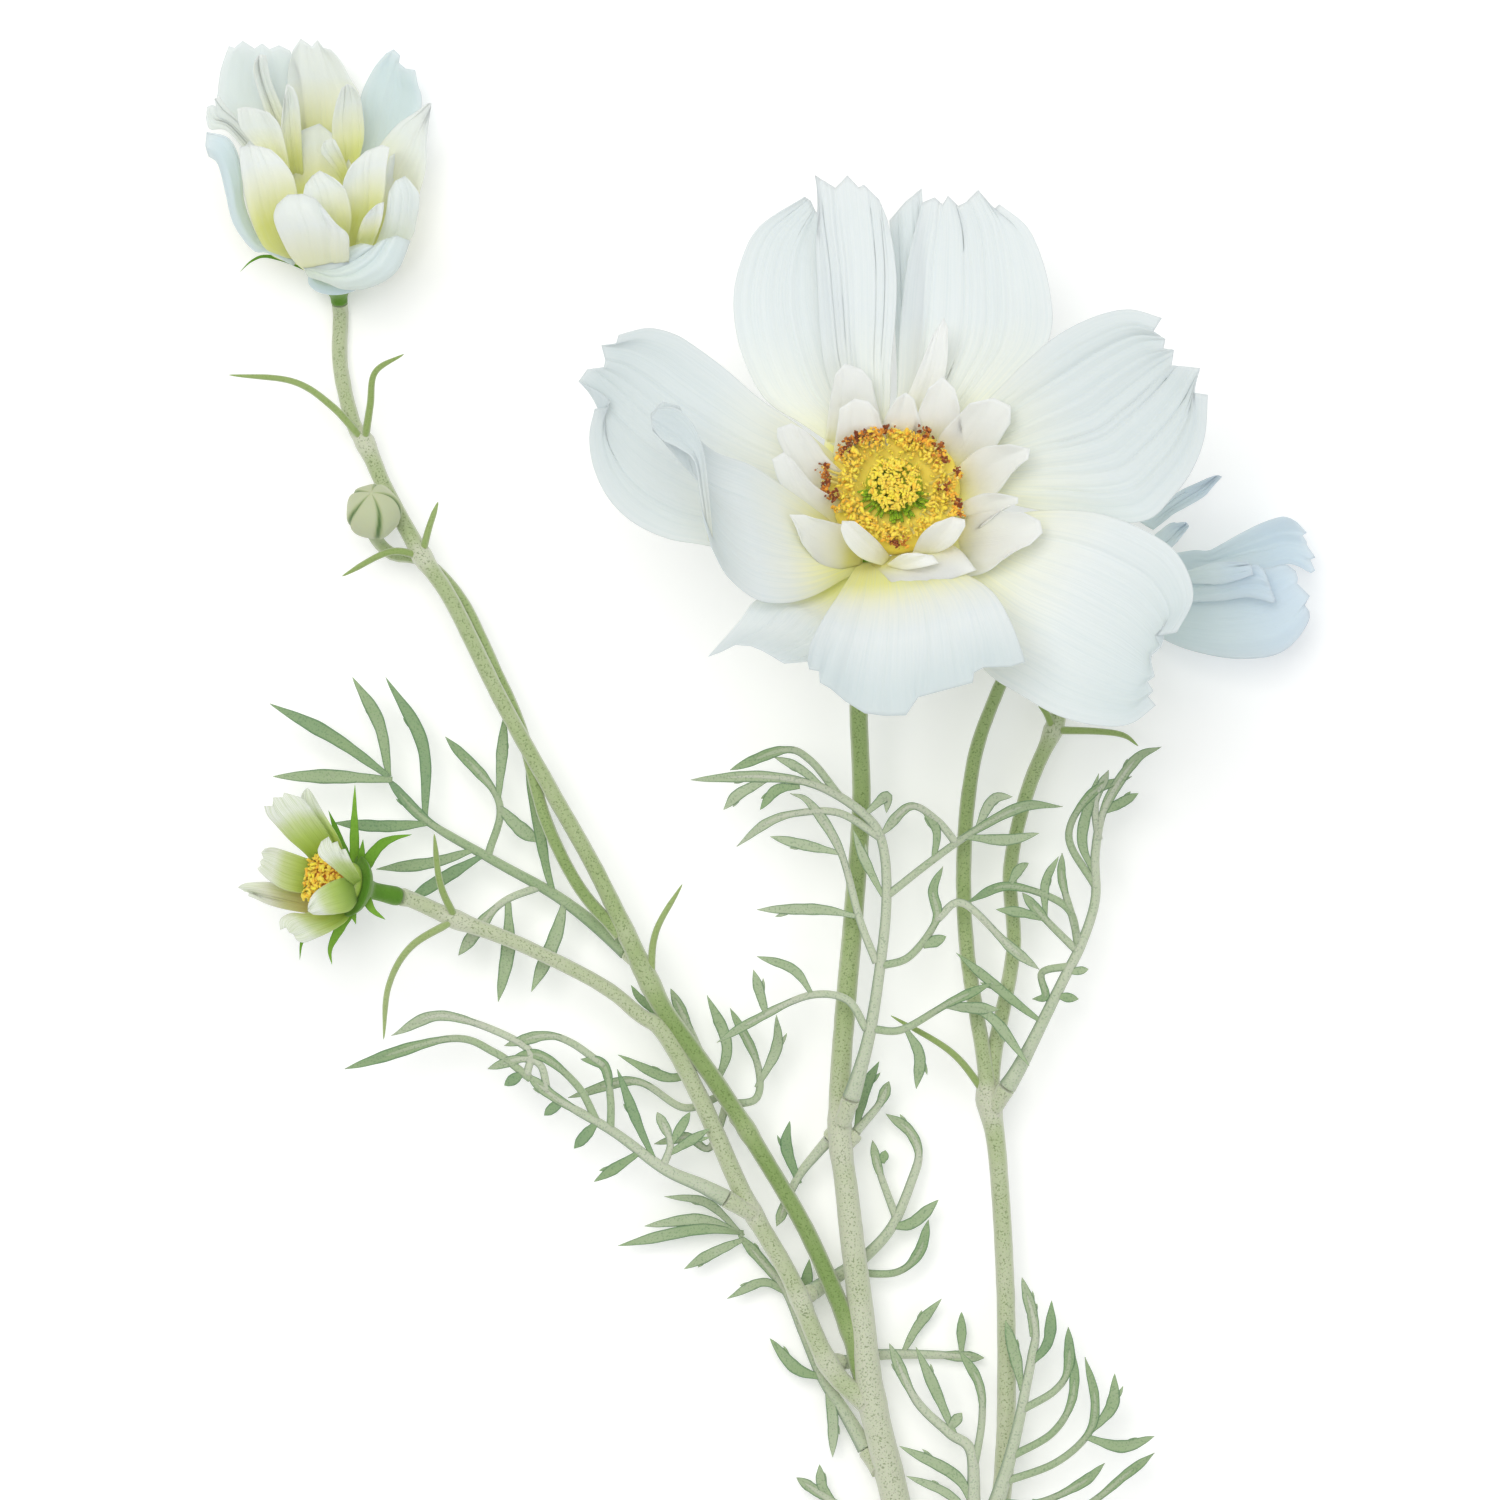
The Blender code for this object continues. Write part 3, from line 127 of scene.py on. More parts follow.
LEAVES = {
    "leaf_upper_left": Leaf(
        socket=3.5, start=12.0, level=7.4, droop=7, tone=0.45, width=1.95,
        rachis=[(-16, -32.5), (-19, -30), (-28.5, -22.5), (-39, -16.5), (-49, -10.5),
                (-55, -4)],
        pinnae=[
            [(-54.5, -4), (-63, 2), (-72.5, 7)],
            [(-54.5, -4), (-56, 4), (-60, 11)],
            [(-54, -4.5), (-63, -4), (-72, -4)],
            [(-49, -10.5), (-49.5, 1), (-55, 11)],
            [(-48, -11), (-55, -11.5), (-63, -11)],
            [(-41.5, -15), (-48, -17), (-56.5, -18)],
            [(-40.5, -16), (-46.5, -19.5), (-52, -23)],
            [(-39.5, -16), (-38, -7.5), (-46, 2)],
            [(-38, -7.5), (-37.5, -1.5), (-37, 5.5)],
            [(-38, -8.5), (-34.5, -12), (-31.5, -14)],
            [(-29.5, -22), (-31, -16.5), (-34, 1)],
            [(-31.5, -20.5), (-38, -23.5), (-44, -31)],
            [(-36.5, -23), (-36.5, -30), (-38, -38)],
            [(-28, -23), (-29.5, -28.5), (-33, -36.5)],
        ],
    ),
    "leaf_lower_left": Leaf(
        socket=5, start=9.2, level=12.8, droop=7,
        rachis=[(0.5, -70), (-6.5, -66), (-13, -63), (-20.5, -57.5), (-29, -52.5),
                (-34, -48.5)],
        pinnae=[
            [(-33, -49.5), (-38.5, -45.5), (-45.5, -43.5), (-61, -48)],
            [(-33.5, -49), (-34, -44.5), (-46, -40), (-54, -43)],
            [(-22, -47.5), (-27, -44), (-31, -43), (-37, -44.5)],
            [(-23, -56), (-26, -50.5), (-31.5, -46), (-36.5, -46.5)],
            [(-30.5, -51.5), (-31.5, -47.5), (-34.5, -46.5), (-39.5, -48)],
            [(-34, -48.5), (-37, -50.5)],
            [(-28, -52.5), (-31, -55)],
            [(-23, -56), (-26.5, -60)],
            [(-16.5, -60.5), (-23.5, -65)],
            [(-21, -57.5), (-21, -52.5), (-22, -47.5), (-25.5, -46.5)],
            [(-14.5, -61.5), (-17, -56), (-20, -48)],
            [(-13, -62.5), (-12, -59), (-14, -54.5)],
            [(-12, -59.5), (-9, -54.5)],
            [(-12.5, -61), (-6, -57)],
        ],
    ),
    "leaf_low_left": Leaf(
        socket=4, start=5.4, level=3.2, droop=3,
        rachis=[(19.5, -109), (14.5, -100.5), (11, -95), (8, -88), (5.5, -82), (2, -77.5),
                (-2, -73)],
        pinnae=[
            [(-1, -73.5), (-6.5, -68.5), (-13, -67.5)],
            [(-1.5, -73), (-7.5, -71), (-16, -72)],
            [(-1, -73), (-8, -72.5), (-20, -75)],
            [(-1, -74), (-5.5, -76), (-10, -78.5)],
            [(6, -82.5), (2, -80.5), (-3.5, -83)],
            [(7.5, -87.5), (8.5, -81), (9, -77)],
            [(11.5, -95), (7, -93.5), (3, -89)],
            [(11.5, -95.5), (12.5, -101), (12.5, -107)],
        ],
    ),
    "leaf_back_left": Leaf(
        socket=3.5, start=9.7, level=6.4, droop=3,
        rachis=[(-0.5, -57.5), (-4, -52), (-7, -47), (-9, -42.5), (-12, -36)],
        pinnae=[
            [(-4, -52), (-10, -54), (-17.5, -50), (-27.5, -52.5)],
            [(-3.4, -53), (-6, -60), (-9.5, -58.5), (-14.5, -59.5)],
            [(-6.5, -47), (-12, -49.5), (-20, -46)],
            [(-9.5, -42), (-16, -38), (-18, -35.5)],
            [(-3.5, -53.5), (1, -52.5), (1, -47), (-3, -39)],
            [(-5, -50.5), (-3.5, -44.5), (-6.5, -37)],
            [(1, -51), (4, -45), (4, -40)],
        ],
    ),
    "leaf_centre": Leaf(
        socket=4, start=10.4, level=16.0, droop=9, tone=0.3, width=1.6,
        rachis=[(14, -56), (16, -50), (18, -42.5), (19.5, -33), (20.5, -23), (20, -14.5),
                (17.5, -10), (10.5, -5.5), (2, -4), (-9, -4.5)],
        pinnae=[
            [(13.5, -7), (9, -1.5), (5, 0), (-3, -3)],
            [(2.5, -4.5), (-1.5, -6.5), (-4, -9)],
            [(7.5, -5.5), (4, -6), (1.5, -9)],
            [(11, -5.5), (7, -2.5), (3.5, -1)],
            [(19.9, -13.4), (13.5, -9.5), (7, -9.5), (2.5, -11), (-2, -14.5)],
            [(13.5, -15.5), (7, -14), (3, -13)],
            [(19, -32), (16.5, -25.5), (13.5, -15), (9, -8), (6, -6.5)],
            [(16, -25), (10.5, -24), (1, -24)],
            [(20, -22), (17, -16), (15.5, -12)],
            [(17.5, -42), (14.5, -37.5), (8.5, -37), (0, -41), (-5, -44)],
            [(9.5, -37), (6.5, -33), (1, -31)],
            [(2.5, -40), (0.5, -33)],
            [(18.5, -42), (23, -42), (30, -38), (36.5, -35)],
            [(30, -38.5), (36, -40), (42, -47.5)],
            [(29.5, -38.5), (37.5, -39)],
            [(23.5, -42), (25.5, -46), (25, -51)],
            [(19.5, -32.5), (24, -31), (28, -25.5), (27.5, -21), (29, -17.5)],
            [(28, -25.5), (32, -23), (39, -29.5), (43.5, -33)],
            [(26, -29.5), (29.5, -28)],
            [(20.5, -22), (27.5, -16.5), (34, -12), (41, -8.5), (47, -8.5)],
            [(32, -13), (38.5, -13.5), (43.5, -12.5)],
            [(31, -14), (28, -10.5), (24, -8.5), (19.5, -13)],
            [(27.5, -17), (28, -12), (25.5, -8.5)],
            [(34, -12), (36.5, -7.5), (39.5, -7)],
            [(17.5, -9.5), (20.5, -7), (20.5, -9.5)],
        ],
    ),
    "leaf_right": Leaf(
        socket=4.5, start=8.7, level=12.4, droop=6, tone=0.4, width=1.5,
        rachis=[(36.5, -54.5), (38, -52), (41, -47), (47, -35), (50, -29), (52, -22.5),
                (52, -15.5), (53.5, -8.5), (58, -1.5), (62, 0.5)],
        pinnae=[
            [(53, -9.5), (58.5, -6.5)],
            [(52, -20.5), (48, -13), (51.5, -6.5), (57.5, -4)],
            [(52, -19), (50, -13), (52.5, -3.5)],
            [(52.5, -13.5), (52, -8), (54, -3)],
            [(44, -41), (40, -38), (31, -30.5)],
            [(49, -30), (44.5, -25.5), (41, -21.5)],
            [(44.5, -25.5), (41, -24.5), (37, -24)],
            [(44.5, -25.5), (44.5, -20), (46.5, -16)],
            [(49.5, -29), (48.5, -25), (47, -19.5), (47, -15.5)],
            [(49.5, -29.5), (47.5, -23.5), (39, -20.5), (32.5, -23)],
            [(39, -20.5), (40.5, -18), (42, -17)],
            [(48.5, -32.5), (44, -33.5), (44.5, -37), (42.5, -37.5)],
            [(48, -33.5), (51, -33)],
            [(46, -37), (49.5, -37.5)],
        ],
    ),
    "leaf_mid_right": Leaf(
        socket=3, start=7.8, level=3.8, droop=3,
        rachis=[(7.5, -83), (14, -79), (17.5, -76.5), (21.5, -72), (24.5, -65), (25.5, -61),
                (24, -57.5), (20.5, -55)],
        pinnae=[
            [(22, -70.5), (19.5, -63.5), (18.5, -59)],
            [(20, -62.5), (20.5, -60.5)],
            [(21, -72), (24.5, -71.5), (28.5, -68)],
            [(15, -79), (22, -79), (25.5, -76), (27, -71)],
        ],
    ),
    "leaf_low_centre": Leaf(
        socket=3.2, start=6.8, level=2.4, droop=3,
        rachis=[(11.5, -92.5), (15, -92.5), (19.5, -91.5), (27.5, -91.5), (35.5, -92)],
        pinnae=[
            [(23, -91.5), (25.5, -87), (29, -83)],
            [(32, -91.5), (32, -85)],
        ],
    ),
    "leaf_mid_left": Leaf(
        socket=3.2, start=8.8, level=5.6, droop=4,
        rachis=[(14, -56.5), (10, -61), (7, -65), (4, -72)],
        pinnae=[
            [(7.5, -65.5), (5.5, -60), (6, -56)],
        ],
    ),
    "leaf_mid_small": Leaf(
        socket=3, start=8.6, level=6.6, droop=4,
        rachis=[(14, -60), (16.5, -57), (19.5, -53.5), (21, -50)],
        pinnae=[
            [(16, -57), (17.5, -51), (19.5, -47)],
        ],
    ),
    "leaf_bottom_right": Leaf(
        socket=4, start=5.5, level=9.6, droop=3,
        rachis=[(36, -117.5), (37.5, -112.5), (39, -107.5), (40.5, -101.5), (41.5, -96.5),
                (42.5, -91.5), (43, -87), (41, -79.5)],
        pinnae=[
            [(42.5, -88.5), (42.5, -82)],
            [(42.5, -92.5), (45, -89), (45.5, -83)],
            [(41, -99.5), (46, -96.5), (48, -93), (48, -87)],
            [(39.5, -106.5), (45.5, -103), (48.5, -98), (49, -91)],
            [(38, -110.5), (46, -107.5), (51, -103), (52, -98), (50.5, -91.5)],
            [(51, -103), (54.5, -99), (55, -94)],
            [(50.5, -103.5), (56, -105), (61, -103.5)],
            [(37, -113.5), (43.5, -113.5), (50, -110.5), (53.5, -107.5)],
            [(42.5, -113.5), (49.5, -114.5), (57, -109), (61, -106)],
            [(41, -96.5), (40, -91.5), (38.5, -86)],
        ],
    ),
    "leaf_bottom_centre": Leaf(
        socket=4, start=5.2, level=8.6, droop=3,
        rachis=[(35, -121.5), (33.8, -115.5), (33.4, -106), (30, -103), (25, -98), (21, -89.5)],
        pinnae=[
            [(31, -103.5), (27.5, -95.5), (25, -90)],
            [(30, -102.5), (32, -100)],
            [(33.6, -109.5), (35, -101), (34.5, -95.5), (31.5, -90.5)],
            [(33.8, -114.5), (31, -109.5), (22.5, -105)],
            [(33.8, -115.8), (29.5, -112), (23.5, -109.5)],
        ],
    ),
    "leaf_bottom_left": Leaf(
        socket=3.5, start=4.6, level=3.4, droop=4,
        rachis=[(23, -121.5), (18, -117), (13, -114), (7, -110)],
        pinnae=[
            [(17, -116.5), (12, -117.5), (7.5, -118.5)],
            [(13, -114), (11, -111.5), (10.5, -108)],
        ],
    ),
}


@dataclass
class Petal:
    """A petal's outline as seen from above, from its root: left edge, teeth of its tip, right edge."""

    left: list
    tip: list
    right: list
    heights: tuple  # of its root, middle and tip over the table
    cup: float = 0.4  # how far its edges stand over its midrib
    pleat: float = 0.12
    ruffle: float = 0.3
    creases: int = 4
    glow: float = 0.0  # how far the yellow of its base reaches, or below 0 how shaded it is
    spread: float = 0.0  # how much wider its root is than drawn
    cool: float = 0.0  # how shaded its tip is


@dataclass
class Bloom:
    centre: tuple
    axis: tuple
    plate: float
    calyx: list
    bracts: list
    disc: float


MAIN_RAYS = [
    # ray top left, its outer lobe
    Petal([(13.9, 44.7), (8.1, 48.7), (2.2, 52.7), (-1.4, 60), (-2.5, 67.3), (-1.3, 73.5), (1.5, 78.6),
           (8.2, 83)],
          [(9.1, 82.4), (9.8, 80.8)],
          [(20.5, 44.7), (17.6, 53.4), (15.7, 60.7), (13.9, 68), (12.8, 74.6), (11.7, 79.9)],
          (36.5, 36.3, 33.2), cup=0.9, creases=4, glow=0.1, cool=0.3),
    # ray top left, folded over its outer lobe
    Petal([(16.1, 43.9), (13, 52), (11.1, 57.8), (10.4, 64.4), (10.1, 71), (9.9, 76.1), (10.4, 81.2)],
          [(10.6, 82.1), (9.8, 86.2), (12.8, 84.3), (14.6, 86.2), (16.3, 84.4), (17.1, 84.8), (19.4, 82.5)],
          [(19.8, 43.9), (20.9, 51.2), (21.2, 57.8), (21.8, 64.4), (22, 70.2), (21.5, 75.3), (20.6, 79.6)],
          (37, 38, 34.8), cup=0.8, creases=8, cool=0.15),
    # ray top right
    Petal([(20.5, 43.9), (22.1, 53.4), (22.4, 62.2), (23.4, 71.7), (24.6, 77.5), (25.8, 82.1)],
          [(27.7, 82.9), (28.9, 81.8), (29.7, 83.1), (31.2, 81.6), (32.3, 82.1), (34.2, 84), (35.8, 82.1),
           (36.4, 80.9)],
          [(30.7, 46.1), (35.8, 52), (40.6, 56.4), (43.9, 59.6), (45.2, 62.9), (45.3, 66.6), (44.2, 72.4),
           (41.7, 78.3), (37.4, 81.9)],
          (36.5, 34.6, 28.5), cup=1, creases=10, cool=0.15),
    # ray top right, its edge that turns under
    Petal([(20.5, 43.9), (22, 53.4), (21.8, 62.2), (21.4, 71), (20.9, 79.4)],
          [(23.4, 82.3)],
          [(25.6, 44.7), (25.9, 53.4), (26, 62.2), (26.2, 73.9), (25.8, 84.3)],
          (36, 34.0, 27.6), cup=-0.3, creases=3, glow=-0.3, cool=0.35),
    # ray right
    Petal([(30, 47.6), (35.8, 52.7), (40.9, 57.8), (46.1, 62.2), (51.9, 65.1), (57, 66.1), (61.8, 64.8)],
          [(60.5, 62.8), (62.3, 61.6), (62, 60.2), (63.6, 60), (63.2, 57.7), (67.5, 57.3), (66.9, 55.3),
           (66.5, 53.6)],
          [(33.6, 38.8), (40.2, 36.6), (48.3, 35.2), (54.8, 34.1), (59.9, 34.6), (63.2, 37.7), (66.2, 41.7),
           (68.2, 46.9), (68.7, 53.3)],
          (37, 46, 54), cup=1, creases=18, pleat=0.3, cool=0.5),
    # ray lower right
    Petal([(30.7, 34.4), (36.6, 34.8), (43.1, 35.9), (49.7, 35.9), (54.8, 34.8), (59.9, 32.6), (63.6, 30),
           (65.8, 26.4), (66.4, 22.4), (64, 17.6)],
          [(60.7, 17.1), (61.6, 15.4), (59.9, 14), (60.7, 11.1), (59.6, 10.3), (60.5, 8.9), (59.7, 8.1)],
          [(27.1, 28.6), (30.7, 19.8), (35.1, 12.1), (40.9, 8.1), (46.1, 5.2), (51.9, 3.7), (57, 3.9),
           (60.9, 6.7)],
          (38, 49, 57), cup=1.6, creases=7, glow=0.8, cool=0.8),
    # ray bottom
    Petal([(16.1, 27.9), (13.9, 24.2), (11, 19.8), (9.2, 16.2), (8.6, 13.4)],
          [(8.9, 12.1), (10.4, 11.8), (10.5, 10.1), (12.1, 9.2), (14.3, 7.3), (17.2, 5.5), (20.5, 5.1),
           (23.4, 5.2), (25.2, 7.9), (28.9, 8.9), (33.4, 10.1), (33.6, 11.6), (35.1, 12.4), (39.1, 12.5)],
          [(26.3, 28.6), (32.2, 26.4), (36.6, 23.5), (39.5, 18.4), (41.3, 13.2)],
          (38, 56, 65), cup=0.8, creases=7, glow=1.6, pleat=0.3, cool=0.85),
    # ray lower left
    Petal([(13.9, 27.9), (8.1, 23.5), (3.7, 22.4), (0.8, 22.4), (-1.8, 19.1), (-6.3, 14)],
          [(-4.4, 14.7), (-2.2, 15.8), (0.2, 15.6), (1.9, 14.9), (5.1, 13)],
          [(19.8, 26.4), (18.3, 22.7), (16.1, 18.4), (13.2, 14.7), (8.1, 13.2)],
          (37.5, 50, 61), cup=0.8, creases=5, glow=1.5, cool=0.5),
    # ray left, curled up
    Petal([(13.9, 33), (9.5, 36.3), (5.1, 39.5), (0, 42.8), (-5.1, 44.7), (-8.4, 47.6), (-10.6, 51.6)],
          [(-13.1, 52.3), (-14.9, 50.5), (-14.6, 47.9), (-12.4, 46.3), (-9.8, 45.8), (-8.4, 43.9),
           (-7.6, 38.8), (-6.9, 34.4)],
          [(16.8, 27.1), (13.9, 25.5), (9.5, 23.1), (5.1, 22), (0.8, 22.7), (-3.3, 26), (-5.8, 30.4)],
          (38.5, 54, 66), cup=1, creases=6, glow=1.1, cool=0.75),
    # ray left, its rolled tip
    Petal([(-6.3, 31.5), (-7.4, 38.1), (-8.3, 43.2), (-10.6, 45.2), (-13.1, 46.5), (-14.7, 48.5)],
          [(-14.9, 49.9)],
          [(-5.5, 30.8), (-6.1, 37.4), (-6.8, 43.9), (-7.9, 47.6), (-9.5, 50.1), (-11.5, 51.4),
           (-13.8, 51.4)],
          (64.5, 67.2, 67.6), cup=0.5, creases=0, glow=-0.3, pleat=0.05, ruffle=0.1, cool=0.7),
    # ray upper left
    Petal([(13.2, 43.9), (7.3, 48.7), (1.5, 52.7), (-3.6, 57.1), (-8, 60.4), (-11.3, 62.4), (-15.3, 63.3),
           (-19.7, 62.3)],
          [(-20.1, 60.9), (-22.3, 60.7), (-21.7, 58.5), (-21.9, 57.4), (-24.4, 57.1), (-25.7, 55.3),
           (-22.6, 53.8), (-21, 52.6), (-21.2, 51.4)],
          [(12.5, 31.5), (3.7, 30), (-2.9, 30), (-7.3, 30.8), (-12.4, 31.7), (-17.5, 34.1), (-21.2, 37.7),
           (-23.5, 42.5), (-24.1, 47.2), (-23.3, 51.2)],
          (37, 44, 50), cup=1, creases=6, glow=0.3, cool=0.6),
]
COLLAR = [
    # top left, behind
    Petal([(12.8, 43.2), (12.3, 52), (12.8, 56.4)],
          [(14.3, 58), (16.8, 57.1)],
          [(19.8, 43.2), (19.2, 49), (18.3, 55.3)],
          (35.4, 38.4, 42.2), cup=0.2, creases=2, glow=1.1, spread=0.6),
    # top, long
    Petal([(23.4, 43.2), (23.4, 50.5), (25.2, 56.4), (27.4, 62.2)],
          [(29.1, 64.8)],
          [(27.1, 43.2), (27.9, 52), (29.4, 57.8), (29.7, 63.3)],
          (35.4, 37.9, 40.7), cup=0.2, creases=2, glow=1.1, spread=0.6),
    # top left
    Petal([(13.9, 41.7), (13.4, 47.6), (13.4, 51.2)],
          [(15.7, 52.7), (17.9, 52.3)],
          [(20.5, 41.7), (19.8, 47.6), (19.2, 50.5)],
          (35.4, 39.9, 43.7), cup=0.2, creases=2, glow=1.1, spread=0.6),
    # top
    Petal([(19.8, 43.2), (20.5, 49.8), (21.8, 52.7)],
          [(23.4, 53.6)],
          [(25.6, 43.2), (25.3, 49), (24.7, 52.6)],
          (35.4, 39.4, 43.2), cup=0.2, creases=2, glow=1.1, spread=0.6),
    # top right
    Petal([(24.9, 43.2), (25.6, 50.5), (26.7, 54.2)],
          [(28.9, 56), (30.7, 54.2)],
          [(30.7, 43.2), (31.3, 47.6), (31.5, 51.2)],
          (35.4, 39.9, 44.2), cup=0.2, creases=2, glow=1.1, spread=0.6),
    # right, upper
    Petal([(27.1, 41.7), (29.6, 47.6), (32.9, 52)],
          [(36.6, 52.8), (39.1, 51.6)],
          [(30.7, 38.8), (35.8, 44.7), (39.1, 49)],
          (35.4, 40.4, 45.7), cup=0.2, creases=2, glow=1.1, spread=0.6),
    # right
    Petal([(29.3, 38.8), (34.4, 44.7), (38.8, 45.9)],
          [(42, 45.2), (41.7, 43.6)],
          [(30.7, 35.9), (36.6, 38.8), (40.2, 42.8)],
          (35.4, 41.4, 46.7), cup=0.2, creases=2, glow=1.1, spread=0.6),
    # right, lower
    Petal([(29.3, 34.8), (34.4, 38.1), (37.3, 38.5)],
          [(40.2, 37.9), (40.2, 37)],
          [(30, 31.5), (35.1, 34.1), (38, 36.3)],
          (35.4, 42.4, 48.2), cup=0.2, creases=2, glow=1.1, spread=0.6),
    # lower right
    Petal([(28.5, 32.2), (35.8, 35.2), (40.9, 35.7)],
          [(43.5, 34.4), (43.9, 32.6), (42, 30.8)],
          [(27.1, 27.1), (35.1, 27.1), (39.1, 29.7)],
          (35.4, 43.4, 50.2), cup=0.2, creases=3, glow=1.3, spread=0.6),
    # bottom, ruffled
    Petal([(19.8, 28.6), (21.6, 25.7), (24.1, 23.8)],
          [(25.2, 23.3), (27.1, 24.2), (29.3, 25.3)],
          [(27.1, 30.8), (31.5, 29), (34, 27)],
          (38.5, 46, 50), cup=0.2, creases=2, glow=1.1, spread=0.6),
    # left, tall
    Petal([(13.9, 33.7), (8.1, 40.3), (4.4, 46.1), (4.1, 48.3)],
          [(6.2, 49)],
          [(16.1, 38.1), (11.7, 43.2), (9.9, 46.1), (8.4, 47.9)],
          (35.4, 41.4, 46.7), cup=0.2, creases=2, glow=1.1, spread=0.6),
    # left
    Petal([(15.4, 31.5), (7.3, 35.9), (4.4, 40.3), (3.3, 43.6)],
          [(5.1, 44.7)],
          [(16.1, 35.2), (10.3, 38.8), (7, 42.8)],
          (35.4, 43.4, 49.2), cup=0.2, creases=2, glow=1.1, spread=0.6),
    # left, ruffled
    Petal([(16.8, 28.6), (11.7, 27.9), (8.1, 30.8), (7.3, 33)],
          [(5.9, 35.3), (8.1, 35.3)],
          [(16.8, 31.5), (11.7, 34.1), (9.5, 34.8)],
          (38.5, 46, 51), cup=0.2, creases=2, glow=1.1, spread=0.6),
    # curled in, left
    Petal([(20.3, 27.5), (16.8, 28.7), (14.6, 30.8), (13.6, 33)],
          [(13.8, 34.4)],
          [(20.9, 29.2), (19, 31.5), (15.7, 34.3)],
          (40, 47, 50), cup=0.5, creases=0, glow=-0.05),
    # curled in, right
    Petal([(24.1, 29), (25.6, 32.2), (27.8, 34.1)],
          [(30.4, 35), (32.2, 34.6)],
          [(26.7, 29), (30.4, 30.8), (32.3, 33.6)],
          (40, 47, 50), cup=0.5, creases=0, glow=-0.05),
    # curled in, bottom
    Petal([(20.6, 27.9), (22.7, 29.3), (24.9, 29.6)],
          [(27.4, 29.2)],
          [(21.8, 27.3), (24.1, 27.1), (28.4, 28)],
          (43, 48, 49), cup=0.5, creases=0, glow=-0.05),
]
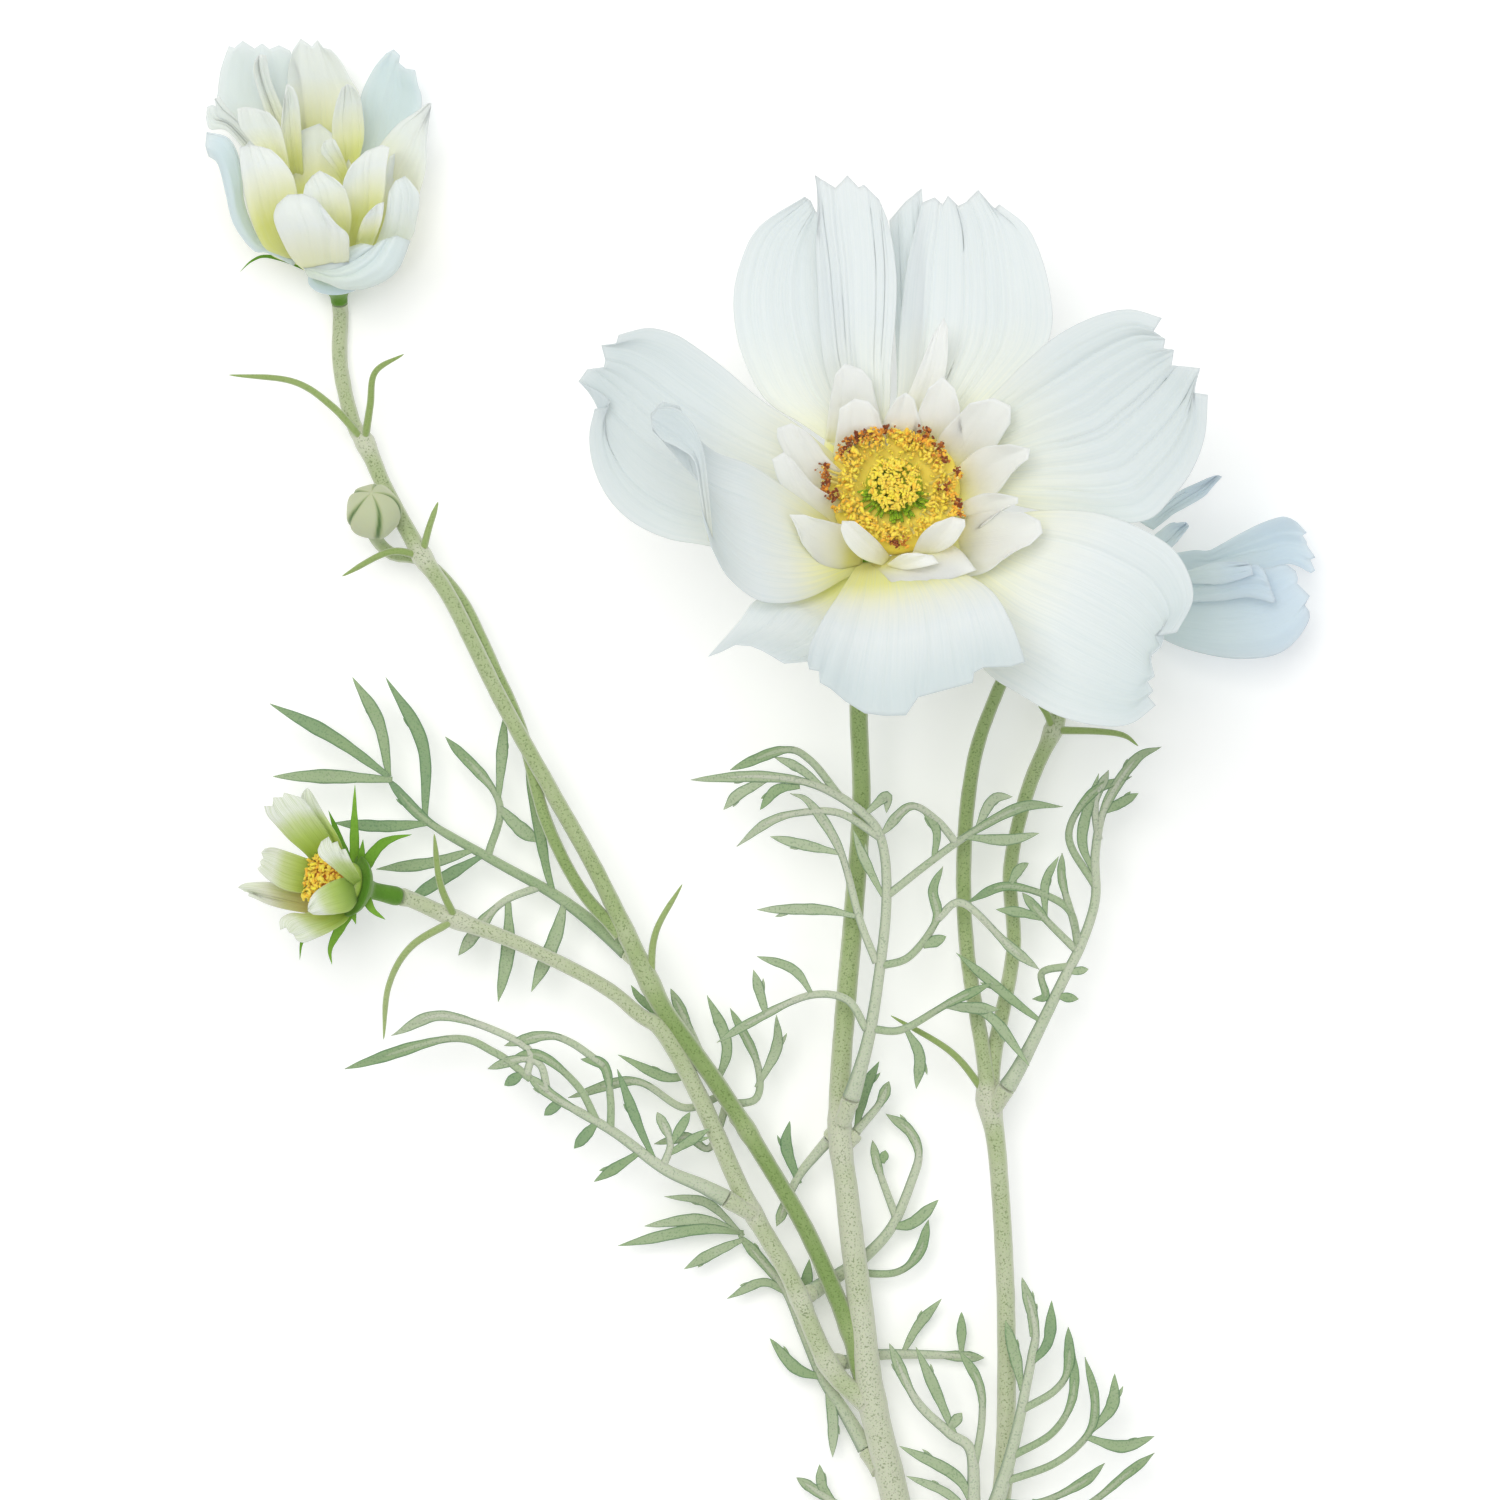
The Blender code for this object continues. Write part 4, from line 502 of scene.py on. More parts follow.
LEFT_PETALS = [
    # wall of the cup, left
    Petal([(-67.4, 72.6), (-72.1, 74.5), (-75.1, 80.1), (-76.7, 87.3)],
          [(-76, 90.4)],
          [(-64.6, 73.5), (-67.4, 80.1), (-70.2, 85.7), (-74.6, 91.8)],
          (6, 8.5, 11), cup=0.5, glow=2.2, creases=1),
    # floor of the cup
    Petal([(-66.3, 74.8), (-69, 81.8), (-70.1, 85.9), (-69.6, 90.1)],
          [(-67.4, 92.9), (-64.6, 94)],
          [(-59, 74.8), (-58.5, 81.8), (-59, 85.9), (-61.8, 91.8)],
          (7.5, 7, 6.4), cup=0.4, glow=4, creases=2),
    # wall of the cup, right
    Petal([(-60.2, 74.8), (-57.4, 80.4), (-55.2, 85.1), (-54.1, 89)],
          [(-52.1, 90.1)],
          [(-56.3, 72.6), (-52.7, 75.4), (-50.3, 80.1), (-49.5, 89)],
          (6, 7.5, 9.5), cup=0.4, glow=2, creases=1),
    # back left
    Petal([(-68.5, 84.5), (-72.9, 88.4), (-77.1, 92.3), (-79.8, 96.5), (-79.8, 99), (-79.4, 102),
           (-78.2, 105.6)],
          [(-77.3, 105.3), (-76.1, 106.4), (-74.3, 105.2), (-73.2, 106), (-72.1, 105.1), (-70.7, 105.7)],
          [(-65.7, 84.5), (-66.3, 90.1), (-66.8, 95.6), (-67.4, 100.6), (-69, 104.9)],
          (3, 2.5, 7), glow=-0.3, cool=0.45, creases=3),
    # back centre
    Petal([(-67.4, 84), (-68.5, 90.1), (-69.3, 97), (-69.3, 101.7), (-68.6, 104.9)],
          [(-67.4, 106.7), (-65.7, 105.5), (-64.9, 106.5), (-64, 105.3)],
          [(-62.9, 84.5), (-60.2, 87.9), (-58.4, 92.9), (-58.4, 97.7), (-59.9, 100.6), (-61.4, 103.4),
           (-62.9, 105.1)],
          (3, 3, 8), glow=1.7, creases=4, cup=0.8, cool=0.15),
    # back right
    Petal([(-61.8, 83.4), (-59, 88.4), (-58.2, 94), (-58.4, 97.9), (-56.6, 102), (-54.6, 104.5)],
          [(-53.4, 105.1), (-52.5, 104.2), (-52.7, 103.1), (-51.7, 102.2)],
          [(-59, 82.9), (-54.9, 86.8), (-52.1, 89.5), (-49.9, 92.9), (-49.2, 97.6), (-49.8, 99.8),
           (-50.2, 102)],
          (3.5, 4, 9), glow=-0.6, cool=1, creases=4),
    # right
    Petal([(-59.6, 81.8), (-57.4, 87.3), (-55.4, 90.9), (-52.7, 94), (-50.2, 95.6), (-48.4, 97)],
          [(-47.8, 97)],
          [(-56.8, 76.2), (-52.9, 76.8), (-50.7, 79.6), (-49.5, 83.7), (-48.6, 87.3), (-48.5, 91.5),
           (-48, 95.6)],
          (5, 9, 13), cup=-0.8, glow=0.6, creases=3, cool=0.1),
    # fold inside the back
    Petal([(-68.5, 87.3), (-71, 91.8), (-72.9, 96.2), (-74.4, 101.2), (-74.3, 103.4)],
          [(-73.6, 104.3)],
          [(-67.4, 86.8), (-68.5, 91.8), (-70.1, 96.2), (-71.8, 100.4), (-72.6, 104.2)],
          (5, 6, 11), cup=0.9, glow=0.6, creases=2),
    # narrow inner left
    Petal([(-67.9, 84.5), (-69.6, 87.9), (-70.3, 92.9), (-69.9, 97.6)],
          [(-69.5, 99.9)],
          [(-66.8, 84.5), (-67.1, 88.4), (-67.4, 94), (-67.8, 97.6), (-68.5, 99.4)],
          (6, 9, 13), cup=0.6, glow=1.6, creases=1),
    # inner right
    Petal([(-60.4, 84.5), (-62.1, 87.9), (-62.7, 92.9), (-62.2, 96.5), (-61.3, 99.2)],
          [(-60.4, 99.9)],
          [(-59, 87.3), (-57.9, 91.8), (-58.1, 95.6), (-58.6, 98.1), (-59.6, 99.5)],
          (6, 9, 13), cup=0.6, glow=1.5, creases=2),
    # small inner right
    Petal([(-60.7, 84.5), (-62.7, 87.6), (-64.3, 89.5), (-64.3, 90.4)],
          [(-63.8, 91.3), (-62.8, 91.8)],
          [(-59.9, 85.4), (-60.4, 87.3), (-61.3, 89.5), (-62.2, 91.5)],
          (8, 12, 14), cup=0.5, glow=1.6, creases=0),
    # left, ruffled
    Petal([(-70.7, 84.5), (-74.9, 89), (-78.5, 92.9), (-81, 93.1), (-81.6, 94.8)],
          [(-81.4, 96.5), (-80.7, 96.8), (-80.1, 96.5), (-80.3, 97.7)],
          [(-69.6, 85.7), (-72.4, 90.1), (-76.2, 94), (-78.5, 96.5), (-79.6, 98.1)],
          (6, 9, 12), cup=-0.6, glow=0.2, creases=3, cool=0.2),
    # left, cream
    Petal([(-69, 81.8), (-72.4, 88.4), (-75.7, 92.3), (-76.7, 94), (-76.9, 96.2)],
          [(-75.7, 96.5), (-74.3, 96.3)],
          [(-68.5, 82.3), (-69, 86.8), (-69.9, 91.5), (-70.7, 94), (-72.1, 95.6)],
          (9, 14, 18), cup=1, glow=1.8, creases=2),
    # outer left
    Petal([(-68.5, 72.6), (-72.4, 74.6), (-74.3, 74.8), (-76.5, 77.3), (-77.8, 79.8), (-78.7, 83.7),
           (-79.8, 87.9), (-81.2, 89)],
          [(-81.7, 90.6)],
          [(-67.4, 76.2), (-72.9, 76.2), (-74.9, 79.3), (-76, 82.9), (-76.2, 86.8), (-77.1, 90.1),
           (-78.5, 92), (-81.5, 92.7)],
          (9, 18, 23), cup=-1.4, glow=-0.9, creases=3, cool=0.95),
    # front left
    Petal([(-68.5, 73.5), (-70.7, 74.3), (-72.9, 75.4), (-74.6, 79), (-75.7, 82.9), (-76.4, 87.3),
           (-76.6, 90.4)],
          [(-74.9, 90.8), (-72.9, 90.4)],
          [(-66.3, 74.8), (-67.4, 79), (-67.9, 83.4), (-68.6, 86.2), (-70.1, 88.4), (-71.8, 90)],
          (9, 21, 24), cup=0.6, glow=2.3, creases=3),
    # inner centre
    Petal([(-65.1, 73.5), (-66.8, 79), (-67, 82.9), (-66.7, 84.8)],
          [(-65.7, 86.1), (-64.6, 86.9)],
          [(-61, 74), (-59.9, 78.2), (-59.9, 81.2), (-60.7, 84), (-62.1, 85.5), (-63.3, 86.3)],
          (9, 20, 22), cup=0.6, glow=1.8, creases=2),
    # right, inner face
    Petal([(-61, 74.8), (-61, 80.4), (-61.1, 84.5), (-60.4, 86.8)],
          [(-59.6, 88), (-57.7, 89.8), (-55.2, 90.8)],
          [(-57.4, 75.1), (-56, 79), (-54.9, 83.2), (-54.6, 86.8), (-54.1, 90.4)],
          (8, 17, 20), cup=0.8, glow=2.2, creases=2),
    # sliver
    Petal([(-59.3, 74), (-59, 76.5), (-58.2, 79.3), (-56.8, 81.1)],
          [(-55.9, 81.9)],
          [(-57.4, 73.7), (-56.3, 76.5), (-55.2, 79.6), (-54.9, 82.2)],
          (8, 19, 22), cup=0.5, glow=2.2, creases=0),
    # lower right
    Petal([(-57.4, 73.5), (-56, 76.2), (-54.7, 80.1), (-54.2, 83.7)],
          [(-53.2, 85.4), (-51.8, 86.1)],
          [(-55.2, 72.6), (-51, 76.5), (-50, 79.6), (-49.6, 83.2), (-51, 85.4)],
          (8, 18, 21), cup=-1.2, glow=-0.2, creases=3, cool=0.3),
    # front centre
    Petal([(-66.3, 71.5), (-68.5, 73.5), (-70.1, 76.2), (-71.4, 79.6), (-71, 81.8)],
          [(-69.3, 83.3), (-67.1, 83.4), (-65.1, 82.7), (-64.2, 81.5)],
          [(-62.9, 71), (-60.4, 72.6), (-60.1, 75.4), (-60.3, 77.3), (-61.8, 78.7), (-63.6, 80.1)],
          (7, 24, 27), cup=-1.4, glow=0.4, creases=5, pleat=0.5, cool=0.15),
    # bottom right
    Petal([(-67.4, 73.7), (-63.9, 73.5), (-60.8, 75.1), (-58.4, 76)],
          [(-57.4, 75.9), (-56.4, 75.6), (-55.4, 76.4), (-53, 77.2), (-51.8, 76.7)],
          [(-66.3, 71), (-63.5, 70.1), (-60.8, 69.1), (-56.9, 69.4), (-53, 71.8), (-50.9, 76.4)],
          (13, 17.5, 19), cup=-1.5, glow=-0.7, creases=3, pleat=0.5, cool=0.6),
]
SMALL_PETALS = [
    # top, behind
    Petal([(-63, -17.6), (-65.7, -12.5), (-67.6, -8.8), (-67.3, -6.8)],
          [(-66.9, -6.1), (-66.4, -5.6)],
          [(-60.4, -17.1), (-61.6, -13.4), (-63.9, -9.5), (-65.7, -6.4)],
          (15, 20.5, 23.5), cup=0.6, glow=0.5, creases=2),
    # top
    Petal([(-64.8, -18), (-66.6, -15.7), (-69.2, -13.4), (-71, -11.4), (-72.4, -9.8), (-72.9, -8.4)],
          [(-71.6, -8.4), (-71.5, -7.1), (-70.1, -7.1), (-69.9, -6.4)],
          [(-61.8, -17.1), (-62.5, -13.9), (-65.3, -9.5), (-66.6, -7.8), (-67.6, -7)],
          (16, 22.5, 26), cup=-0.8, glow=0.7, creases=5),
    # left
    Petal([(-63.4, -17.3), (-66.6, -16.2), (-69.4, -15.2), (-71.5, -14.6), (-72.8, -14.8)],
          [(-73.3, -15.4), (-73, -16.2), (-73.5, -16.7), (-73.3, -17.3)],
          [(-63, -21.2), (-66.2, -21.5), (-69.6, -21), (-71.7, -19.9), (-73.1, -18.7), (-73.9, -17.8)],
          (15, 19, 22), cup=0.8, glow=0.6, creases=3),
    # lower left
    Petal([(-63, -21), (-66.6, -21), (-70.3, -20.1), (-72.6, -19.8), (-75.4, -19.9)],
          [(-76.3, -20.2), (-76.8, -20.6), (-76.1, -21), (-75.8, -21.2), (-75.1, -21.2)],
          [(-62.5, -24), (-65.7, -24.5), (-69.2, -24), (-72.2, -23.2), (-74.2, -22.3), (-75.3, -21.9)],
          (14, 16.5, 18.5), cup=-0.5, glow=-0.9, creases=3),
    # bottom
    Petal([(-62.5, -22.2), (-64.3, -23.5), (-66.6, -24.5), (-68.9, -24.5), (-70.5, -25.4), (-70.5, -27)],
          [(-69.6, -26.6), (-69.1, -27.4), (-68.5, -27.6)],
          [(-59.3, -22.6), (-60.3, -25.4), (-62.5, -27), (-64.8, -28.1), (-66.9, -28.9), (-68, -28.6)],
          (14, 20, 23), cup=-0.8, glow=0.6, creases=4),
    # front
    Petal([(-58.7, -19.9), (-60.4, -19.1), (-62.5, -19.6), (-64.6, -20.8), (-65.7, -21.9), (-66.3, -23.3)],
          [(-66.3, -24.2)],
          [(-58.6, -22.2), (-60, -24.1), (-62.1, -24.6), (-63.9, -24.7), (-65.4, -24.7)],
          (17, 28, 31), cup=-1, glow=0.8, creases=3),
    # front, folded
    Petal([(-58.7, -21), (-61.1, -18.9), (-63, -17.3), (-64.6, -15.9), (-64.8, -14.8)],
          [(-64.3, -13.7), (-63.2, -13), (-62.7, -14), (-61.9, -13.7), (-61.5, -15)],
          [(-58.1, -19.9), (-58.8, -18.5), (-59.8, -16.7), (-60.7, -14.8)],
          (17, 28, 30), cup=0.6, glow=0.2, creases=2),
]
BACK_PETALS = [
    # long and narrow
    Petal([(58.2, 34.4), (60.5, 35.7), (64.2, 38.7), (67.2, 40.1), (69.5, 41.1)],
          [(70.3, 41.2)],
          [(60.5, 33), (62.8, 34.8), (63.5, 35.4), (66.3, 36.9), (68.3, 38.2), (69.7, 39.8), (70.8, 41)],
          (9, 9, 12), cup=0.5, creases=1),
    # small one
    Petal([(60.1, 31.8), (62.9, 34), (64, 34), (64.9, 34.2)],
          [(65.5, 34.1)],
          [(62.1, 29.5), (63.8, 30.9), (64.9, 32.3), (65.9, 33.6)],
          (10, 11, 13), cup=0.5, creases=1),
    # upper
    Petal([(63.5, 29.5), (66.7, 30), (68.7, 29.9), (70.9, 31), (73.9, 32.7), (76.6, 34), (78.9, 34.8),
           (80.1, 35), (81.2, 34.7)],
          [(82.1, 34.1), (83.5, 32.6), (82.9, 32.2), (83.5, 31.2), (83.5, 30.8), (84.8, 28.9), (84, 28.6)],
          [(63.5, 25.8), (66.3, 26.3), (70.9, 26.8), (75.5, 27.2), (78.2, 27.3), (80.7, 27.9), (82.1, 27.6),
           (83.3, 27), (84.1, 26.5), (84.8, 26.9)],
          (7, 6, 9), cup=0.8, creases=6),
    # lower
    Petal([(62.1, 23.5), (66.3, 24.5), (70.9, 25.8), (75.5, 27), (77.8, 27.3), (79.6, 27.8), (80.7, 27.7)],
          [(81.9, 26.8), (82.2, 25.8), (82.1, 25), (83, 24.1), (84, 23.1), (83.2, 21.8), (83.9, 20.8)],
          [(60.3, 17.8), (62.8, 16.2), (66.3, 14.9), (70.9, 13.9), (74.3, 13.7), (77.8, 14), (80.3, 15),
           (82.1, 16.7), (83.4, 18.5), (84, 19.9)],
          (6, 10, 12), cup=-1.6, creases=4, glow=-0.1),
    # hooked
    Petal([(63.3, 24.5), (66.3, 25.4), (70.9, 26.3), (74.3, 27.4), (75.9, 27.8), (77.2, 27)],
          [(78, 24.7)],
          [(63.3, 21.5), (66.3, 22.2), (70.9, 22.4), (74.5, 22.9), (77.3, 22.4), (78.2, 22), (78.9, 22.3)],
          (9, 13, 15), cup=-0.5, creases=2),
    # rolled edge of the hooked one
    Petal([(63.3, 26.5), (66.3, 27.1), (69.7, 28.1), (74.5, 28.2)],
          [(75.2, 27.8)],
          [(63.3, 24.5), (66.3, 25), (70.4, 24.9), (73.2, 25.5), (75.5, 26.3)],
          (10, 15, 17), cup=-0.6, creases=1, glow=0.6),
]

BLOOMS = {
    "main": Bloom((21.5, 37.8, 36), (0, 0.375, 0.927), 7.2,
          [(-7.2, 2.0), (-5.6, 3.2), (-2.4, 5.2), (-1.3, 6.2)],
          [(turn, -8, 13, 3.2) for turn in range(20, 380, 45)], 5.6),
    "left": Bloom((-62.4, 71.6, 5.2), (-0.06, 0.83, 0.56), 4.4,
          [(-4.6, 1.6), (-3.2, 2.4), (-1.2, 3.6)],
          [(200, 4, 9, 1.8), (255, -10, 6, 1.8), (320, 0, 6, 1.8)], 1.6),
    "small": Bloom((-60.6, -20.2, 17.6), (-0.82, 0.2, 0.53), 3.4,
          [(-9.4, 1.2), (-4.6, 1.3), (-2.6, 2.2), (-1.2, 3.2)],
          [(10, 4, 11, 2.2), (345, -22, 9, 2.4), (300, -35, 7, 2.2), (250, -20, 6, 2.2), (215, -30, 8, 2.2),
           (180, 0, 11, 2.2), (145, 8, 11, 2.0), (70, -10, 8, 2.2)], 2.3),
    "back": Bloom((57.6, 20.8, 7.9), (0.95, 0.16, 0.26), 4.0,
          [(-4.4, 1.5), (-2.6, 2.2), (-1.2, 3.4)],
          [(turn, 10, 8, 2.0) for turn in range(0, 360, 60)], 1.8),
}
EYE_OF_MAIN = Bloom((21.4, 38.7, 36.6), (0, 0.14, 0.99), 0, [], [], 0)

# Heaps of anthers round the open bloom's eye: degrees, radius, and 0.3 for yellow up to 1 for brown.
ANTHER_HEAPS = [
    (154, 9.0, 0.55), (148, 9.3, 0.85), (141, 9.2, 0.95), (134, 9.0, 0.9), (127, 8.8, 0.95), (120, 8.6, 0.8),
    (113, 8.5, 0.55), (106, 8.3, 0.6), (99, 8.2, 0.95), (93, 7.6, 0.6), (110, 7.6, 0.5), (122, 7.9, 0.6),
    (166, 10.6, 0.9), (172, 10.2, 0.75), (178, 10.1, 0.95), (184, 10.3, 0.75), (189, 10.4, 0.85),
    (191, 9.4, 0.95),
    (205, 9.4, 0.5), (69, 7.6, 0.5), (58, 7.8, 0.75), (48, 8.1, 0.5), (41, 8.4, 0.95), (34, 8.2, 0.7),
    (25, 8.2, 0.9),
    (60, 9.3, 0.85), (11, 9.7, 0.9), (6, 9.4, 0.6), (1, 8.8, 0.5), (-5, 7.2, 0.85), (-11, 8.8, 0.55),
    (-18, 9.5, 1.0),
    (-23, 10.8, 0.6), (-27, 9.6, 0.45), (-89, 8.8, 0.9), (-82, 8.9, 0.75), (-97, 8.4, 0.45),
]

CUP_PROFILES = {
    "left": [(-4.6, 1.25), (-3.2, 1.45), (-1.6, 2.6), (-1.0, 3.6)],
    "small": [(-9.4, 1.25), (-8.8, 1.45), (-4.8, 1.35), (-3.4, 2.2), (-2.2, 3.9), (-1.1, 4.7), (-0.9, 4.5)],
}

# Where a stem runs on under the one that it grew from: (x, y, z, radius).
STEM_ROOTS = {"left_high": [(17.6, -98, 5.4, 0.9), (16.2, -93, 6.0, 1.25)]}

# Calyx bracts whose lie is known, as routes from the cup to their tips, and their widths.
CALYX_ROUTES = {
    "small": [
        ([(-59.2, -18, 15.6), (-59.4, -15.3, 16.5), (-59.4, -10.3, 18), (-59.3, -5.2, 18.5)], 1.7),
        ([(-58.1, -17.6, 16.5), (-55.7, -14.5, 17.5), (-53.6, -13.3, 18), (-50.8, -12.7, 17.5)], 2.0),
        ([(-58.1, -21.2, 16.5), (-56.8, -23.9, 17), (-54.8, -25.5, 16)], 1.5),
        ([(-60, -24, 16), (-62.4, -28.1, 15), (-63.2, -30.2, 14), (-62.9, -32.3, 13.5)], 1.7),
        ([(-61.1, -24.5, 15), (-65.7, -27.2, 13.5), (-67.4, -28.8, 13), (-67.8, -31.6, 12.5)], 1.3),
        ([(-59.5, -22.2, 16.5), (-59.6, -24.5, 17), (-59.2, -26.2, 17)], 1.6),
        ([(-58.5, -17.1, 16.5), (-58.3, -15.3, 17.5), (-58.1, -13.4, 18)], 1.3),
        ([(-60.4, -17.6, 15), (-62.1, -12.5, 14), (-63.4, -9.1, 14.5)], 1.7),
    ],
    "left": [
        ([(-62.9, 70.7, 3.2), (-68.5, 73.5, 4.5), (-73, 74.6, 5.2), (-75.3, 73.9, 5), (-77.1, 72.3, 4.2)],
         1.1),
        ([(-63.5, 71.2, 3), (-65.5, 71.1, 4.4), (-65.3, 69.8, 4.6)], 1.4),
        ([(-62.4, 71.2, 2.6), (-60.2, 76.8, 2.6), (-59, 80.7, 3.4)], 1.6),
        ([(-62.9, 71.2, 2.6), (-66.3, 76.2, 2.6), (-68.5, 80.1, 3.4)], 1.6),
    ],
}

# Buds: centre, axis, radius.
BUDS = {
    "ball_bud": ((-56.7, 35.9, 12.0), (-0.06, 0.66, 0.75), 4.2),
    "right_bud": ((42.4, 19.6, 5.6), (0.4, 0.9, -0.15), 3.8),
}


# ---------------------------------------------------------------- shapes

def bud_points(centre, axis, radius, sides, rings, ribs=5, rib=0.04, tip=1.08):
    """Rings of points over a ribbed ball, drawn out a little at its tip, from its foot up."""
    turn = Vector((0, 0, 1)).rotation_difference(Vector(axis)).to_matrix()
    grid = np.zeros((rings + 1, sides + 1, 3))
    for i in range(rings + 1):
        polar = math.pi * i / rings
        for k in range(sides + 1):
            angle = 2 * math.pi * k / sides
            out = radius * math.sin(polar) * (1 + rib * math.cos(ribs * angle))
            up = -radius * math.cos(polar) * (tip if i == rings else 1)
            grid[i, k] = Vector(centre) + turn @ Vector((out * math.cos(angle), out * math.sin(angle), up))
    return grid


def spray_shift():
    """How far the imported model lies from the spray's own plan, read from where its ball bud is."""
    low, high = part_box("ball_bud")
    points = bud_points(*BUDS["ball_bud"], 10, 6)[:, :-1].reshape(-1, 3)
    middle = (points.min(axis=0) + points.max(axis=0)) / 2
    return np.array((low + high) / 2) / MM - middle


SHIFT = spray_shift()
rng = np.random.default_rng(SEED)


def place(points):
    """Points of the spray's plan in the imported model's frame, in metres."""
    return (np.asarray(points, float) + SHIFT) * MM


def seen(points):
    """Outline points as they look from straight above, set in to suit their own height."""
    points = np.array(points, float)
    points[..., :2] *= 1 - (points[..., 2:3] - LEVEL) / (EYE - LEVEL)
    return points


def smooth(points, step):
    """A curve through the points, with a sample every step or so."""
    points = [np.array(point, float) for point in points]
    points = [2 * points[0] - points[1], *points, 2 * points[-1] - points[-2]]
    curve = [points[1]]
    for a, b, c, d in zip(points, points[1:], points[2:], points[3:]):
        count = max(1, round(float(np.linalg.norm((c - b)[:3])) / step))
        for index in range(1, count + 1):
            t = index / count
            curve.append(0.5 * (2 * b + (c - a) * t + (2 * a - 5 * b + 4 * c - d) * t**2
                                + (3 * b - a - 3 * c + d) * t**3))
    return np.array(curve)


def distances(points):
    """How far along the line each of its points lies."""
    return np.concatenate([[0], np.cumsum(np.linalg.norm(np.diff(points[:, :3], axis=0), axis=1))])


def spaced(points, count):
    """The same line with count points at even spacing."""
    points = np.asarray(points, float)
    walked = distances(points)
    at = np.linspace(0, walked[-1], count)
    return np.stack([np.interp(at, walked, points[:, k]) for k in range(points.shape[1])], axis=1)


def spaced_at_corners(points, count):
    """Like spaced, with the nearest sample moved to each corner of the line, so that teeth stay sharp."""
    points = np.asarray(points, float)
    walked = distances(points)
    at = np.linspace(0, walked[-1], count)
    for corner in walked[1:-1]:
        at[1 + np.argmin(np.abs(at[1:-1] - corner))] = corner
    at = np.sort(at)
    return np.stack([np.interp(at, walked, points[:, k]) for k in range(points.shape[1])], axis=1)


class Piece:
    """Gathers closed shells, then makes them one mesh."""

    def __init__(self):
        self.points, self.faces, self.uvs, self.tints, self.count = [], [], [], [], 0

    def add(self, points, faces, uvs, tint=0.0):
        self.points.append(points)
        self.faces.append(faces + self.count)
        self.uvs.append(uvs)
        self.tints.append(np.array(np.broadcast_to(tint, len(points)), float))
        self.count += len(points)

    def shell(self, front, back, uv, tint=0.0):
        """A thin closed sheet from two grids of points that face away from each other."""
        rows, columns = front.shape[:2]
        index = np.arange(rows * columns).reshape(rows, columns)
        under = index + rows * columns

        def quads(a, b, c, d):
            return np.stack([a.ravel(), b.ravel(), c.ravel(), d.ravel()], axis=1)

        faces = [quads(index[:-1, :-1], index[:-1, 1:], index[1:, 1:], index[1:, :-1]),
                 quads(under[:-1, :-1], under[1:, :-1], under[1:, 1:], under[:-1, 1:])]
        for edge, below in ((index[:, 0][::-1], under[:, 0][::-1]), (index[:, -1], under[:, -1]),
                            (index[0], under[0]), (index[-1][::-1], under[-1][::-1])):
            faces.append(quads(edge[:-1], below[:-1], below[1:], edge[1:]))
        self.add(np.concatenate([front.reshape(-1, 3), back.reshape(-1, 3)]), np.concatenate(faces),
                 np.concatenate([uv.reshape(-1, 2)] * 2),
                 np.tile(np.broadcast_to(tint, (rows, columns)).ravel(), 2))

    def tube(self, rings, tint=0.0):
        """A closed tube: rings of points round a line, from its start to its end."""
        count, sides = rings.shape[:2]
        index = np.arange(count * sides).reshape(count, sides)
        after = np.roll(index, -1, axis=1)
        faces = np.stack([index[:-1], after[:-1], after[1:], index[1:]], axis=-1).reshape(-1, 4)
        caps = np.array([[count * sides, after[0, k], index[0, k], index[0, k]] for k in range(sides)]
                        + [[count * sides + 1, index[-1, k], after[-1, k],
                            after[-1, k]] for k in range(sides)])
        along = np.repeat(np.linspace(0, 1, count), sides)
        around = np.tile(np.arange(sides) / sides, count)
        uv = np.stack([along, around], axis=1)
        ends = np.array([rings[0].mean(axis=0), rings[-1].mean(axis=0)])
        self.add(np.concatenate([rings.reshape(-1, 3), ends]), np.concatenate([faces, caps]),
                 np.concatenate([uv, [[0, 0.5], [1, 0.5]]]), tint)

    def build(self, name, finish, slot, *nodes):
        points, faces = place(np.concatenate(self.points)), np.concatenate(self.faces)
        uvs, tints = np.concatenate(self.uvs), np.concatenate(self.tints)
        rows = [tuple(dict.fromkeys(face)) for face in faces.tolist()]
        mesh = bpy.data.meshes.new(name)
        mesh.from_pydata(points.tolist(), [], rows)
        mesh.update()
        corners = np.zeros(len(mesh.loops), np.int32)
        mesh.loops.foreach_get("vertex_index", corners)
        mesh.uv_layers.new(name="along_across").data.foreach_set("uv",
                                                                 uvs[corners].astype(np.float32).ravel())
        mesh.attributes.new("tint", "FLOAT", "POINT").data.foreach_set("value", tints.astype(np.float32))
        mesh.shade_smooth()
        return dress(bpy.data.objects.new(name, mesh), finish, slot, *nodes)


def dress(made, finish, slot, *nodes):
    """Puts a finished piece in the scene, in its finish, in place of the plain solids that it stands for."""
    if made.name not in bpy.context.scene.collection.objects:
        bpy.context.scene.collection.objects.link(made)
    made.data.materials.clear()
    made.data.materials.append(finish)
    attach(made, "root")
    if nodes:
        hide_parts(*nodes)
    return made


def normals_of(grid):
    """Unit normals of a grid of points."""
    rows, columns = np.gradient(grid, axis=0), np.gradient(grid, axis=1)
    normal = np.cross(columns, rows)
    return normal / np.maximum(np.linalg.norm(normal, axis=-1, keepdims=True), 1e-9)


def ridges(across, count, strength):
    """Heights of irregular pleats that run along a blade, from broad folds to fine veins."""
    height = np.zeros_like(across)
    for share, waves in ((1.0, count), (0.5, count * 2.3), (0.22, count * 5.1)):
        drift = 0.12 * np.sin(across * rng.uniform(2, 4) + rng.uniform(0, 6))
        height += share * np.cos(math.pi * waves * (across + drift) + rng.uniform(0, 6))
    return strength * height


